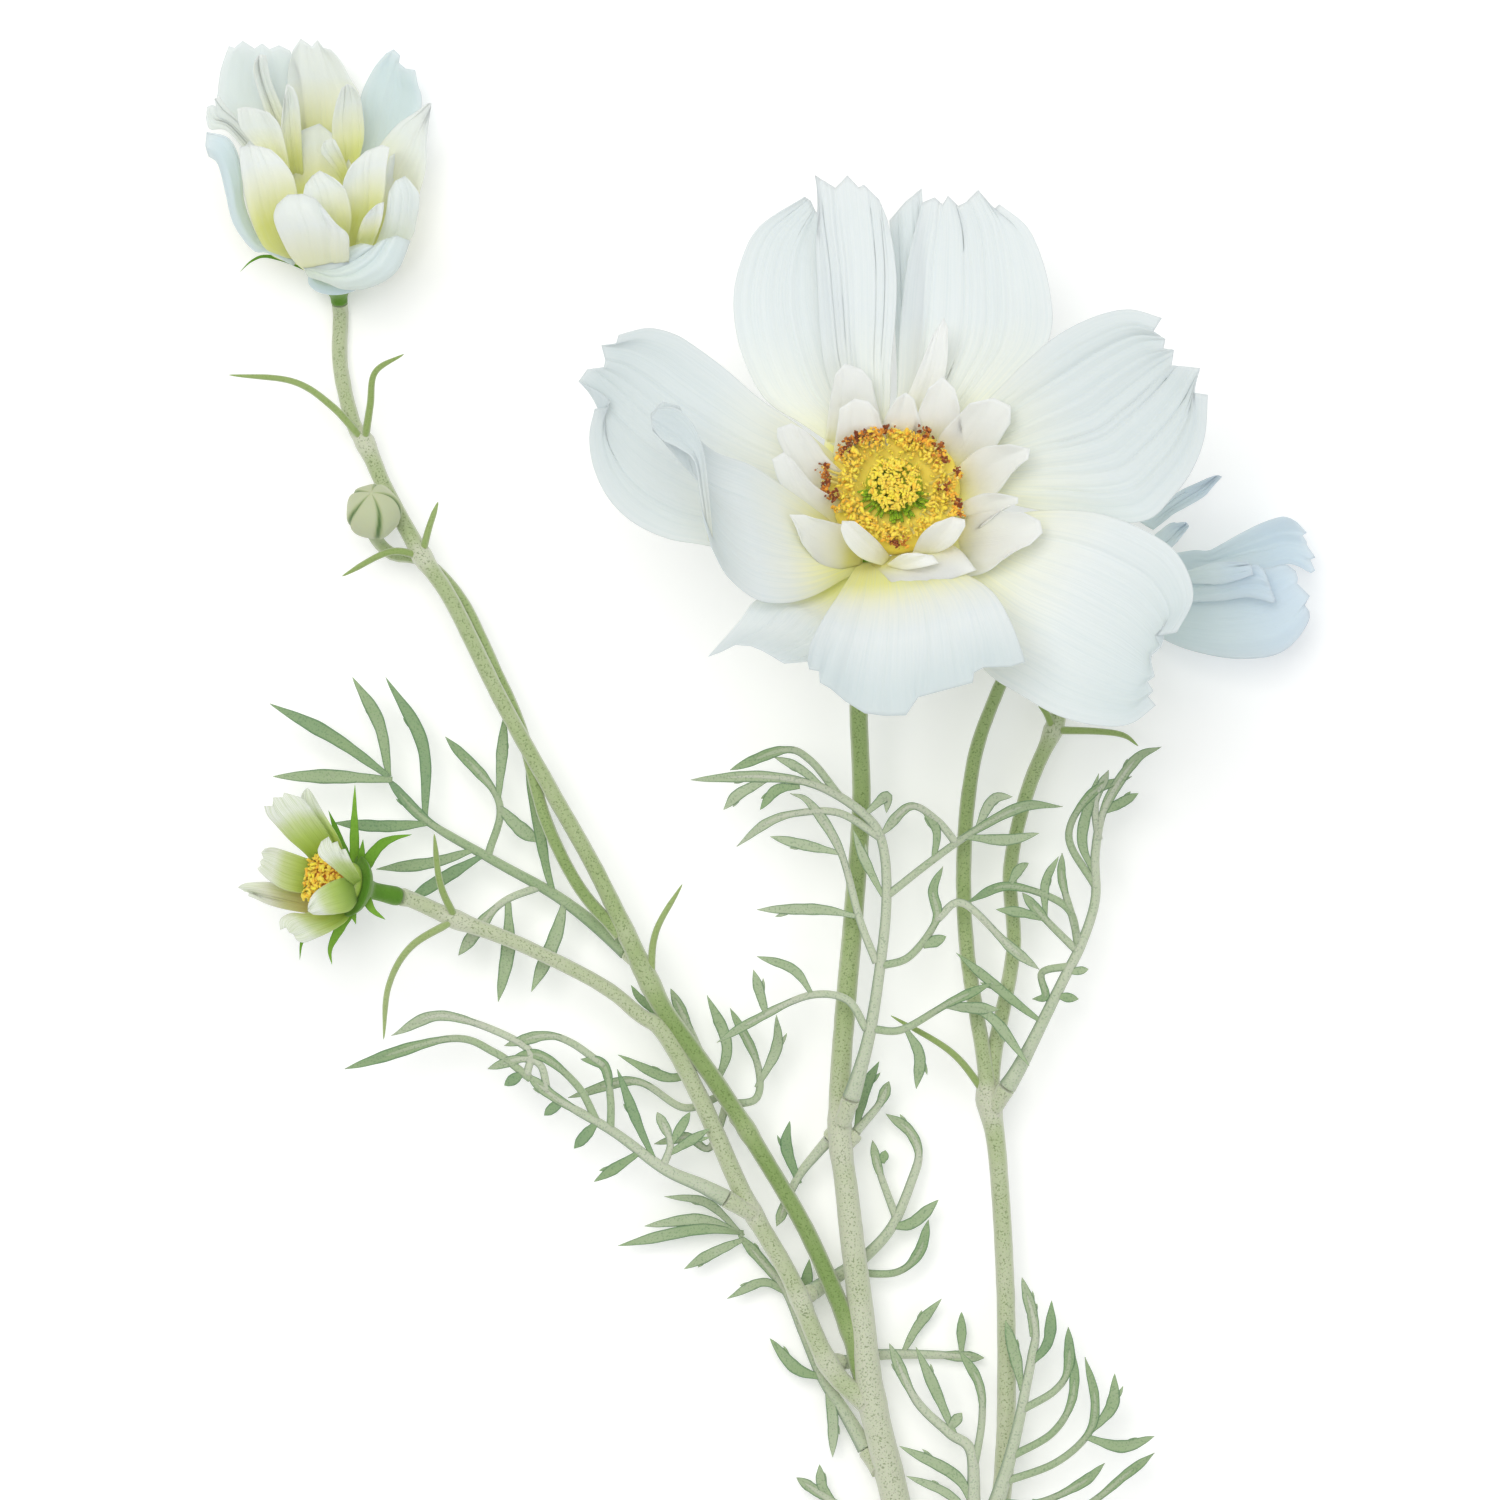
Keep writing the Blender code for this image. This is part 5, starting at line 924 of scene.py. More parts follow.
def creases(across, along, count, depth):
    """Narrow grooves that run out towards the tip between the pleats, some deep and some faint."""
    height = np.zeros_like(across)
    for at in rng.uniform(-0.86, 0.86, count):
        width, start, bend = rng.uniform(0.016, 0.034), rng.uniform(0.05, 0.45), rng.uniform(-0.08, 0.08)
        lip = (across - at - bend * np.sin(2.6 * along)) / width
        fade = np.clip((along - start) / 0.2, 0, 1)
        height += depth * rng.uniform(0.35,
                                      1) * fade * (0.35 * np.exp(-((lip - 1.8) / 1.4) ** 2) - np.exp(-lip**2))
    return height


def petal_grid(petal, along, across, folds=3.0):
    """The petal's middle surface: outline from its edges and tip, height from its root, middle and tip."""
    left = spaced(smooth([(*point, 0) for point in petal.left], 0.5), along + 1)[:, :2]
    right = spaced(smooth([(*point, 0) for point in petal.right], 0.5), along + 1)[:, :2]
    tip = spaced_at_corners(np.array([petal.left[-1], *petal.tip, petal.right[-1]]), across + 1)
    u = np.linspace(0, 1, along + 1)[:, None]
    w = np.linspace(0, 1, across + 1)[None, :]
    middle_line = (left + right) / 2
    wider = 1 + petal.spread * (1 - u) ** 1.5
    left, right = (middle_line + (edge - middle_line) * wider for edge in (left, right))
    ruled = left[:, None] * (1 - w)[..., None] + right[:, None] * w[..., None]
    beyond = tip - (tip[0] * (1 - w[0])[:, None] + tip[-1] * w[0][:, None])
    span = max(3, across // 5)
    padded = np.concatenate([np.repeat(beyond[:1], span, 0), beyond, np.repeat(beyond[-1:], span, 0)])
    kernel = np.ones(2 * span + 1) / (2 * span + 1)
    broad = np.stack([np.convolve(padded[:, k], kernel, "valid") for k in range(2)], axis=1)
    ends = np.minimum(w[0], 1 - w[0])[:, None] * 2
    broad *= np.minimum(1, ends * 4)
    plan = ruled + broad[None] * (u**1.7)[..., None] + (beyond - broad)[None] * (u**7)[..., None]
    root, middle, end = petal.heights
    v = 2 * w - 1
    height = root * (1 - u) * (1 - 2 * u) + 4 * middle * u * (1 - u) + end * u * (2 * u - 1) + 0 * v
    height = height + petal.cup * (v**2 - 0.4) * np.minimum(1, 2.2 * u)
    height = height + ridges(v + 0 * u, folds, petal.pleat) * np.minimum(1, 1.6 * u) ** 0.7
    height = height + creases(v + 0 * u, u + 0 * v, petal.creases, 0.12 + 0.011 * petal.creases)
    phase = rng.uniform(0, 6, 3)
    ruffle = np.sin(7 * u + phase[0] + 2.4 * v) * np.abs(v)**3 + 0.7 * np.sin(5 * v + phase[1]) * u**4
    height = height + petal.ruffle * ruffle * np.minimum(1, 2 * u)
    return np.concatenate([plan, height[..., None]], axis=-1), np.stack(np.broadcast_arrays(u, w), axis=-1)


def add_petal(piece, petal, along=44, across=52, thickness=0.4, folds=3.0):
    grid, uv = petal_grid(petal, along, across, folds)
    grid = seen(grid)
    normal = normals_of(grid)
    if normal[..., 2].mean() < 0:
        normal = -normal
        grid, uv, normal = grid[:, ::-1], uv[:, ::-1], normal[:, ::-1]
    edge = np.minimum(1, 6 * np.minimum(uv[..., 1], 1 - uv[..., 1]) + 0.35) * np.minimum(1,
                                                                                         8 * (1 - uv[...,
                                                                                                     0]) + 0.3)
    half = normal * (thickness / 2 * edge)[..., None]
    out = uv[..., 0]
    tint = petal.glow * (1 - out) - petal.cool * out
    piece.shell(grid + half, grid - half, uv, tint)


def flat_ring(direction):
    """Two directions across a line: sideways in the plan, and up from it."""
    side = np.cross(direction, (0, 0, 1.0))
    side /= max(np.linalg.norm(side), 1e-9)
    return side, np.cross(side, direction)


def directions(curve):
    """Unit vectors along a curve, one at each of its points."""
    ahead = np.gradient(curve, axis=0)
    return ahead / np.maximum(np.linalg.norm(ahead, axis=1, keepdims=True), 1e-9)


def add_blade(piece, curve, width, thickness=0.55, root=0.55, tint=0.0, columns=8, spur=0.0, widest=0.6,
              reach=0.34):
    """A pointed leaf segment with a shallow channel along its upper face, raised edges, and perhaps a side tooth."""
    count = len(curve)
    along = np.linspace(0, 1, count)
    swell = root + (1 - root) * np.sin(np.pi / 2 * np.minimum(1, along / widest)) ** 1.3
    point = np.where(along < 1 - reach, 1, 1 - 0.97 * (np.maximum(along - 1 + reach, 0) / reach) ** 1.7)
    wander = 1 + 0.05 * np.sin(along * 13 + rng.uniform(0, 6)) + 0.025 * np.sin(along * 31 + rng.uniform(0,
                                                                                                         6))
    half = width / 2 * swell * point * wander
    w = np.linspace(-1, 1, columns + 1)
    ahead = directions(curve)
    front, back = np.zeros((count, columns + 1, 3)), np.zeros((count, columns + 1, 3))
    for i in range(count):
        side, up = flat_ring(ahead[i])
        crown = 0.3 * half[i] * np.abs(w) ** 1.5
        body = thickness / 2 * np.maximum(0.15, point[i] ** 0.5) * np.sqrt(np.maximum(0.04, 1 - w**2 * 0.92))
        base = curve[i] + np.outer(half[i] * w, side)
        front[i] = base + np.outer(crown + body, up)
        back[i] = base + np.outer(crown * 0.6 - body, up)
    uv = np.stack(np.broadcast_arrays(along[:, None], (w / 2 + 0.5)[None]), axis=-1)
    piece.shell(front[:, ::-1], back[:, ::-1], uv[:, ::-1], tint)
    if spur and count > 8:
        at = int(count * rng.uniform(0.5, 0.68))
        side, up = flat_ring(ahead[at])
        out = side * rng.choice([-1, 1])
        steps = np.linspace(0, 1, 6)[:, None]
        tooth = curve[at] + out * (half[at] * 0.3) + spur * steps * (ahead[at] * 0.85 + out * (0.55 - 0.2 * steps))
        add_blade(piece, tooth, 0.85, thickness * 0.8, 1.0, tint, 4, reach=0.9)


def add_rod(piece, curve, widths, heights, sides=12, tint=0.0, ribs=0.0):
    """A closed rod along a curve, as wide and as high as given at each point."""
    ahead = directions(curve)
    rings = np.zeros((len(curve), sides, 3))
    for i in range(len(curve)):
        side, up = flat_ring(ahead[i])
        for k in range(sides):
            angle = 2 * math.pi * k / sides
            rib = 1 + ribs * math.cos(6 * angle)
            rings[i, k] = (curve[i] - side * (widths[i] * rib * math.cos(angle))
                           + up * (heights[i] * rib * math.sin(angle)))
    piece.tube(rings, tint)


def bloom_turn(bloom):
    """Turns the bloom's own directions, Z along its axis, to the spray's."""
    axis = Vector(bloom.axis).normalized()
    right = (Vector((1, 0, 0)) - axis * axis.x).normalized()
    if abs(axis.x) > 0.7:
        right = axis.cross(Vector((0, 0, 1))).normalized()
    return np.array([right, axis.cross(right), axis]).T


def in_spray(bloom, points):
    """Points of the bloom's own frame, in the spray's."""
    return np.asarray(points) @ bloom_turn(bloom).T + np.array(bloom.centre)


# ---------------------------------------------------------------- finishes

def linear(colour):
    """An sRGB hex value as linear RGBA."""
    values = [int(colour[k:k + 2], 16) / 255 for k in (1, 3, 5)]
    return [value / 12.92 if value <= 0.04045 else ((value + 0.055) / 1.055) ** 2.4 for value in values] + [1]


def node(tree, kind, settings=(), links=()):
    """A node with its settings, input values and links. A link's source is (node, output)."""
    made = tree.nodes.new(kind)
    for name, value in dict(settings).items():
        if isinstance(name, str) and hasattr(made, name):
            setattr(made, name, value)
        else:
            made.inputs[name].default_value = value
    for name, (source, output) in dict(links).items():
        tree.links.new(source.outputs[output], made.inputs[name])
    return made


def ramp(tree, source, output, stops):
    """A colour ramp of (place, hex) stops."""
    made = node(tree, "ShaderNodeValToRGB", links={"Fac": (source, output)})
    elements = made.color_ramp.elements
    while len(elements) < len(stops):
        elements.new(0.5)
    for element, (at, colour) in zip(elements, stops):
        element.position = at
        element.color = linear(colour)
    return made


def new_finish(name, **shader_values):
    finish = bpy.data.materials.new(name)
    finish.use_nodes = True
    tree = finish.node_tree
    shader = tree.nodes["Principled BSDF"]
    for socket, value in shader_values.items():
        shader.inputs[socket.replace("_", " ")].default_value = value
    return finish, tree, shader


def petal_finish(name, stops, cool, cool_amount, vein, shade, soft=0.35):
    """Fresh petal: a thin, moist leaf of cells. Light soaks in and spreads, so shadows in it stay pale. Its base
    is tinged yellow, as far out as the attribute "tint" says, and below nought it is shaded instead. Fine
    veins about 0.4 mm apart run from root to tip, with a satin surface between them."""
    finish, tree, shader = new_finish(name, Roughness=0.52, Subsurface_Weight=soft,
                                      Subsurface_Radius=(1.0, 0.97, 0.86),
                                      Subsurface_Scale=0.0016, Sheen_Weight=0.1, Sheen_Roughness=0.5,
                                      Specular_IOR_Level=0.3)
    uv = node(tree, "ShaderNodeUVMap", {"uv_map": "along_across"})
    split = node(tree, "ShaderNodeSeparateXYZ", links={"Vector": (uv, "UV")})
    where = node(tree, "ShaderNodeTexCoord")
    tint = node(tree, "ShaderNodeAttribute", {"attribute_name": "tint"})
    cloud = node(tree, "ShaderNodeTexNoise", {"Scale": 70.0, "Detail": 3.0}, {"Vector": (where, "Object")})
    drift = node(tree, "ShaderNodeMath", {"operation": "MULTIPLY_ADD", 1: 0.2, 2: 0.15}, {0: (cloud, "Fac")})
    shifted = node(tree, "ShaderNodeMath", {"operation": "ADD"}, {0: (split, "X"), 1: (drift, "Value")})
    yellow = node(tree, "ShaderNodeMath", {"operation": "MAXIMUM", 1: 0.0}, {0: (tint, "Fac")})
    reach = node(tree, "ShaderNodeMath", {"operation": "MULTIPLY_ADD", 1: -0.45},
                 {0: (yellow, "Value"), 2: (shifted, "Value")})
    base = ramp(tree, reach, "Value", stops)
    stretched = node(tree, "ShaderNodeMapping", {"Scale": (1.3, 60.0, 1.0)}, {"Vector": (uv, "UV")})
    lines = node(tree, "ShaderNodeTexNoise", {"Scale": 1.0, "Detail": 3.0, "Roughness": 0.6},
                 {"Vector": (stretched, "Vector")})
    dark = node(tree, "ShaderNodeMapRange", {"From Min": 0.56, "From Max": 0.36, "To Max": vein},
                {"Value": (lines, "Fac")})
    veined = node(tree, "ShaderNodeMix", {"data_type": "RGBA", 7: linear(cool)},
                  {0: (dark, "Result"), 6: (base, "Color")})
    colder = node(tree, "ShaderNodeMath", {"operation": "MINIMUM", 1: 0.0}, {0: (tint, "Fac")})
    patch = node(tree, "ShaderNodeTexNoise", {"Scale": 34.0, "Detail": 1.0}, {"Vector": (where, "Object")})
    patches = node(tree, "ShaderNodeMath", {"operation": "MULTIPLY", 1: cool_amount}, {0: (patch, "Fac")})
    patched = node(tree, "ShaderNodeMix", {"data_type": "RGBA", 7: linear(cool)},
                   {0: (patches, "Value"), 6: (veined, 2)})
    fade = node(tree, "ShaderNodeMath", {"operation": "MULTIPLY", "use_clamp": True, 1: -1.0},
                {0: (colder, "Value")})
    toned = node(tree, "ShaderNodeMix", {"data_type": "RGBA", 7: linear(shade)},
                 {0: (fade, "Value"), 6: (patched, 2)})
    tree.links.new(toned.outputs[2], shader.inputs["Base Color"])
    bump = node(tree, "ShaderNodeBump", {"Strength": 0.3, "Distance": RELIEF}, {"Height": (lines, "Fac")})
    tree.links.new(bump.outputs["Normal"], shader.inputs["Normal"])
    return finish


def green_finish(name, stops, rim, rim_amount, sheen_colour="#D4D7C6", sheen_amount=0.0, speck_amount=0.3,
                 grain_mm=0.3):
    """Green stem or leaf skin: matte and downy. Where it turns from straight up to its side it is mixed towards a
    pale colour: a painted sheen of its fine short hairs. It has dark specks of bare skin along its middle and a
    darker rim on a blade. The attribute "tint" moves its colour along the stops from one piece to the next."""
    finish, tree, shader = new_finish(name, Roughness=0.66, Sheen_Weight=0.25, Sheen_Roughness=0.45,
                                      Subsurface_Weight=0.12, Subsurface_Radius=(0.6, 1.0, 0.4),
                                      Subsurface_Scale=0.0008, Specular_IOR_Level=0.25)
    uv = node(tree, "ShaderNodeUVMap", {"uv_map": "along_across"})
    split = node(tree, "ShaderNodeSeparateXYZ", links={"Vector": (uv, "UV")})
    where = node(tree, "ShaderNodeTexCoord")
    tint = node(tree, "ShaderNodeAttribute", {"attribute_name": "tint"})
    broad = node(tree, "ShaderNodeTexNoise", {"Scale": 110.0, "Detail": 4.0, "Roughness": 0.6},
                 {"Vector": (where, "Object")})
    sway = node(tree, "ShaderNodeMath", {"operation": "MULTIPLY_ADD", 1: 0.5, 2: -0.25}, {0: (broad, "Fac")})
    tone = node(tree, "ShaderNodeMath", {"operation": "ADD"}, {0: (tint, "Fac"), 1: (sway, "Value")})
    base = ramp(tree, tone, "Value", stops)
    fine = node(tree, "ShaderNodeTexNoise", {"Scale": 1 / (grain_mm * MM), "Detail": 2.0},
                {"Vector": (where, "Object")})
    facing = node(tree, "ShaderNodeNewGeometry")
    upward = node(tree, "ShaderNodeSeparateXYZ", links={"Vector": (facing, "Normal")})
    # Painted sheen: towards the pale hair colour as the surface turns from straight up to its side.
    painted_sheen = node(tree, "ShaderNodeMapRange", {"From Min": 0.85, "From Max": 0.3, "To Max": sheen_amount},
                {"Value": (upward, "Z")})
    sheened = node(tree, "ShaderNodeMix", {"data_type": "RGBA", 7: linear(sheen_colour)},
                  {0: (painted_sheen, "Result"), 6: (base, "Color")})
    bare = node(tree, "ShaderNodeMapRange", {"From Min": 0.44, "From Max": 0.36, "To Max": speck_amount},
                {"Value": (fine, "Fac")})
    middle = node(tree, "ShaderNodeMapRange", {"From Min": 0.55, "From Max": 0.95, "To Min": 0.15},
                  {"Value": (upward, "Z")})
    speck = node(tree, "ShaderNodeMath", {"operation": "MULTIPLY"},
                 {0: (bare, "Result"), 1: (middle, "Result")})
    specked = node(tree, "ShaderNodeMix", {"data_type": "RGBA", 7: linear(rim)},
                   {0: (speck, "Value"), 6: (sheened, 2)})
    off_middle = node(tree, "ShaderNodeMath", {"operation": "SUBTRACT", 1: 0.5}, {0: (split, "Y")})
    off = node(tree, "ShaderNodeMath", {"operation": "ABSOLUTE"}, {0: (off_middle, "Value")})
    rim_line = node(tree, "ShaderNodeMapRange", {"From Min": 0.34, "From Max": 0.5, "To Max": rim_amount},
                    {"Value": (off, "Value")})
    rimmed = node(tree, "ShaderNodeMix", {"data_type": "RGBA", 7: linear(rim)},
                  {0: (rim_line, "Result"), 6: (specked, 2)})
    tree.links.new(rimmed.outputs[2], shader.inputs["Base Color"])
    bump = node(tree, "ShaderNodeBump", {"Strength": 0.5, "Distance": RELIEF}, {"Height": (fine, "Fac")})
    tree.links.new(bump.outputs["Normal"], shader.inputs["Normal"])
    return finish


def pollen_finish(name, stops):
    """Pollen and tiny florets: dry and powdery, from pale yellow through orange to brown."""
    finish, tree, shader = new_finish(name, Roughness=0.8, Sheen_Weight=0.2, Subsurface_Weight=0.15,
                                      Subsurface_Radius=(1.0, 0.6, 0.2), Subsurface_Scale=0.0006,
                                      Specular_IOR_Level=0.25)
    tint = node(tree, "ShaderNodeAttribute", {"attribute_name": "tint"})
    base = ramp(tree, tint, "Fac", stops)
    tree.links.new(base.outputs["Color"], shader.inputs["Base Color"])
    return finish


# ---------------------------------------------------------------- stems and leaves

def socket(tree, name, kind, value=None, way="INPUT"):
    made = tree.interface.new_socket(name, in_out=way, socket_type=kind)
    if value is not None:
        made.default_value = value
    return made


def run_tree(base, tree, values, name):
    """Evaluates the tree on a mesh once, and gives back the plain mesh it makes."""
    maker = bpy.data.objects.new(name + "_maker", base)
    bpy.context.scene.collection.objects.link(maker)
    modifier = maker.modifiers.new("Shape", "NODES")
    modifier.node_group = tree
    for item in tree.interface.items_tree:
        if item.item_type == "SOCKET" and item.in_out == "INPUT" and item.name in values:
            modifier[item.identifier] = values[item.name]
    graph = bpy.context.evaluated_depsgraph_get()
    mesh = bpy.data.meshes.new_from_object(maker.evaluated_get(graph))
    mesh.name = name
    maker.modifiers.clear()
    bpy.data.objects.remove(maker)
    return mesh


def stem_tree(finish):
    """A skin round every line of the base mesh, as thick as its radius says, with shallow ribs along it."""
    tree = bpy.data.node_groups.new("stem skin", "GeometryNodeTree")
    socket(tree, "Geometry", "NodeSocketGeometry")
    socket(tree, "Sides", "NodeSocketInt", 24)
    socket(tree, "Unevenness", "NodeSocketFloat", 0.0001)
    socket(tree, "Geometry", "NodeSocketGeometry", way="OUTPUT")
    given = node(tree, "NodeGroupInput")
    line = node(tree, "GeometryNodeMeshToCurve", links={"Mesh": (given, "Geometry")})
    radius = node(tree, "GeometryNodeInputNamedAttribute", {"data_type": "FLOAT", "Name": "radius"})
    thick = node(tree, "GeometryNodeSetCurveRadius",
                 links={"Curve": (line, "Curve"), "Radius": (radius, "Attribute")})
    where = node(tree, "GeometryNodeSplineParameter")
    kept = node(tree, "GeometryNodeCaptureAttribute", {"domain": "POINT"}, {"Geometry": (thick, "Curve")})
    kept.capture_items.new("FLOAT", "Along")
    tree.links.new(where.outputs["Factor"], kept.inputs["Along"])
    circle = node(tree, "GeometryNodeCurvePrimitiveCircle", {"Radius": 1.0}, {"Resolution": (given, "Sides")})
    profile = node(tree, "GeometryNodeCaptureAttribute", {"domain": "POINT"}, {"Geometry": (circle, "Curve")})
    profile.capture_items.new("FLOAT", "Across")
    tree.links.new(where.outputs["Factor"], profile.inputs["Across"])
    skin = node(tree, "GeometryNodeCurveToMesh", {"Fill Caps": True},
                {"Curve": (kept, "Geometry"), "Profile Curve": (profile, "Geometry")})
    if "Scale" in skin.inputs:
        tree.links.new(radius.outputs["Attribute"], skin.inputs["Scale"])
    position = node(tree, "GeometryNodeInputPosition")
    wobble = node(tree, "ShaderNodeTexNoise", {"Scale": 420.0, "Detail": 2.0},
                  {"Vector": (position, "Position")})
    level = node(tree, "ShaderNodeMath", {"operation": "SUBTRACT", 1: 0.5}, {0: (wobble, "Fac")})
    rib_turn = node(tree, "ShaderNodeMath", {"operation": "MULTIPLY", 1: 2 * math.pi * 7},
                    {0: (profile, "Across")})
    rib = node(tree, "ShaderNodeMath", {"operation": "SINE"}, {0: (rib_turn, "Value")})
    both = node(tree, "ShaderNodeMath", {"operation": "MULTIPLY_ADD", 1: 0.22},
                {0: (rib, "Value"), 2: (level, "Value")})
    amount = node(tree, "ShaderNodeMath", {"operation": "MULTIPLY"},
                  {0: (both, "Value"), 1: (given, "Unevenness")})
    normal = node(tree, "GeometryNodeInputNormal")
    offset = node(tree, "ShaderNodeVectorMath", {"operation": "SCALE"},
                  {0: (normal, "Normal"), "Scale": (amount, "Value")})
    moved = node(tree, "GeometryNodeSetPosition",
                 links={"Geometry": (skin, "Mesh"), "Offset": (offset, "Vector")})
    pair = node(tree, "ShaderNodeCombineXYZ", links={"X": (kept, "Along"), "Y": (profile, "Across")})
    mapped = node(tree, "GeometryNodeStoreNamedAttribute",
                  {"data_type": "FLOAT2", "domain": "CORNER", "Name": "along_across"},
                  {"Geometry": (moved, "Geometry"), "Value": (pair, "Vector")})
    even = node(tree, "GeometryNodeSetShadeSmooth", links={"Geometry": (mapped, "Geometry")})
    real = node(tree, "GeometryNodeRealizeInstances", links={"Geometry": (even, "Geometry")})
    painted = node(tree, "GeometryNodeSetMaterial", {"Material": finish}, {"Geometry": (real, "Geometry")})
    node(tree, "NodeGroupOutput", links={"Geometry": (painted, "Geometry")})
    return tree


def lines_mesh(name, curves):
    """A mesh of open lines from (x, y, z, radius, tint) points in millimetres."""
    points, edges, radii, tints = [], [], [], []
    for curve in curves:
        start = len(points)
        points += place(curve[:, :3]).tolist()
        radii += (curve[:, 3] * MM).tolist()
        tints += curve[:, 4].tolist()
        edges += [(start + k, start + k + 1) for k in range(len(curve) - 1)]
    mesh = bpy.data.meshes.new(name)
    mesh.from_pydata(points, edges, [])
    mesh.attributes.new("radius", "FLOAT", "POINT").data.foreach_set("value", radii)
    mesh.attributes.new("tint", "FLOAT", "POINT").data.foreach_set("value", tints)
    return mesh


def seat(name):
    """Where the stem below a bloom or bud ends, and the direction it ends in."""
    if name in BLOOMS:
        bloom = BLOOMS[name]
        axis = np.array(Vector(bloom.axis).normalized())
        return np.array(bloom.centre) + axis * (bloom.calyx[0][0] - GAP), axis
    centre, axis, radius = BUDS[name]
    axis = np.array(Vector(axis).normalized())
    return np.array(centre) - axis * (radius + GAP), axis


def leaf_curve(leaf, places, step):
    """A smooth curve through places of the plan, at the leaf's height there."""
    plan = smooth([(*point, 0) for point in places], step)[:, :2]
    away = np.hypot(*(plan - np.array(leaf.rachis[0])).T)
    wave = 0.8 * np.sin(plan[:, 0] / 6) * np.cos(plan[:, 1] / 8) * np.minimum(1, away / 20)
    height = leaf.level + (leaf.start - leaf.level) * np.exp(-away / leaf.droop) + wave
    return np.column_stack([plan, height])


def split_at(curve, length):
    """The part of the line up to the given length and the part from there on."""
    walked = distances(curve)
    middle = np.array([np.interp(length, walked, curve[:, k]) for k in range(curve.shape[1])])
    near = walked < length
    return np.vstack([curve[near], middle]), np.vstack([middle, curve[~near]])


def make_stems():
    joints = [np.array((*leaf.rachis[0], leaf.start)) for leaf in LEAVES.values()]
    joints += [np.array(route[0][:3]) for route in STEMS.values()]
    joints += [np.array(route[0]) for route in BRACTS]
    curves = []
    for name, route in STEMS.items():
        carried, radius = CARRIED[name]
        tip, axis = seat(carried)
        curve = smooth([*STEM_ROOTS.get(name, []), *route, (*(tip - axis * NECK), radius), (*tip, radius)],
                       1.2)
        tints = STEM_TINTS[name]
        tint = np.interp(np.linspace(0, len(tints) - 1, len(curve)), range(len(tints)), tints)
        from_tip = np.linalg.norm(curve[:, :3] - curve[-1, :3], axis=1)
        curve[:, 3] += 0.22 * np.exp(-((from_tip - 0.9) / 0.6) ** 2)
        for joint in joints:
            away = np.linalg.norm(curve[:, :3] - joint, axis=1)
            curve[:, 3] += 0.2 * np.exp(-(away / 1.6) ** 2)
            tint = tint - 0.25 * np.exp(-(away / 2.2) ** 2)
        curves.append(np.column_stack([curve, tint]))
    for leaf in LEAVES.values():
        stub, _ = split_at(leaf_curve(leaf, leaf.rachis, 0.6), leaf.socket)
        from_tip = np.linalg.norm(stub - stub[-1], axis=1)
        radius = 1.3 + 0.12 * np.exp(-((from_tip - 0.6) / 0.5) ** 2)
        curves.append(np.column_stack([stub, radius, np.full(len(stub), 0.12)]))
    tree = stem_tree(FINISHES["stem"])
    mesh = run_tree(lines_mesh("stem_lines", curves), tree, {"Sides": 24, "Unevenness": 0.0002}, "stems_skin")
    dress(bpy.data.objects.new("stems_skin", mesh), FINISHES["stem"], "stem", "stems")
    bracts = Piece()
    for route in BRACTS:
        curve = smooth(route, 0.4)
        along = np.linspace(0, 1, len(curve))
        point, foot = np.sqrt(np.clip((1.003 - along) / 0.22, 0, 1)), 0.6 + 0.4 * np.minimum(1, along / 0.1)
        width = 0.64 * (1 - 0.4 * along) * point * foot
        curve[:, 2] -= 0.9 * np.exp(-along / 0.07)
        add_rod(bracts, curve, width, width * 0.8, 12, rng.uniform(0.35, 0.7))
    bracts.build("stem_bracts", FINISHES["bract"], "stem")


def make_leaf(name, leaf):
    piece = Piece()
    whole = leaf_curve(leaf, leaf.rachis, 0.5)
    _, free = split_at(whole, leaf.socket + GAP)
    along = np.linspace(0, 1, len(free))
    walked = along * np.linalg.norm(np.diff(free, axis=0), axis=1).sum()
    taper = np.clip((1.002 - along) / 0.3, 0, 1) ** 0.6
    girth = min(1, walked[-1] / 30)
    width = (0.5 + 0.34 * girth + 0.5 * girth * np.exp(-walked / 7)) * (1 - 0.3 * along) * taper
    pale = rng.uniform(-0.05, 0.1) + max(0, leaf.tone - 0.4) * 8
    add_rod(piece, free, width, np.minimum(width, (0.5 + 0.5 * np.exp(-walked / 4)) * (0.3 + 0.7 * taper)),
            14, pale, 0.03)
    add_blade(piece, free[int(len(free) * (0.7 * girth ** 0.3)):], 1.7, 0.55, 0.5, pale + 0.3,
              spur=2.0 * girth)
    for pinna in leaf.pinnae:
        curve = leaf_curve(leaf, pinna, 0.45)
        length = 0.45 * len(curve)
        tint = leaf.tone + rng.uniform(-0.18, 0.25)
        branched = any(np.hypot(*(curve[8:-4, :2] - np.array(other[0])).T).min() < 1.2
                       for other in leaf.pinnae if other is not pinna and len(curve) > 14)
        if branched or len(pinna) > 3:
            add_rod(piece, curve,
                    np.interp(np.linspace(0, 1, len(curve)), [0, 0.5, 0.8, 1], [0.62, 0.56, 0.42, 0.08]),
                    np.interp(np.linspace(0, 1, len(curve)), [0, 0.7, 1], [0.4, 0.36, 0.08]), 10, tint - 0.25)
            add_blade(piece, curve[int(len(curve) * 0.4):], leaf.width * rng.uniform(0.85, 1.1), 0.5, 0.4,
                      tint)
        else:
            add_blade(piece, curve, leaf.width * rng.uniform(0.85, 1.2), 0.55, 0.42, tint,
                      spur=rng.choice([0, 1.6, 2.0, 2.4]) * (length > 6), widest=0.58, reach=0.4)
    piece.build(name + "_blades", FINISHES["leaf"], "leaf", name)


# ---------------------------------------------------------------- blooms and buds

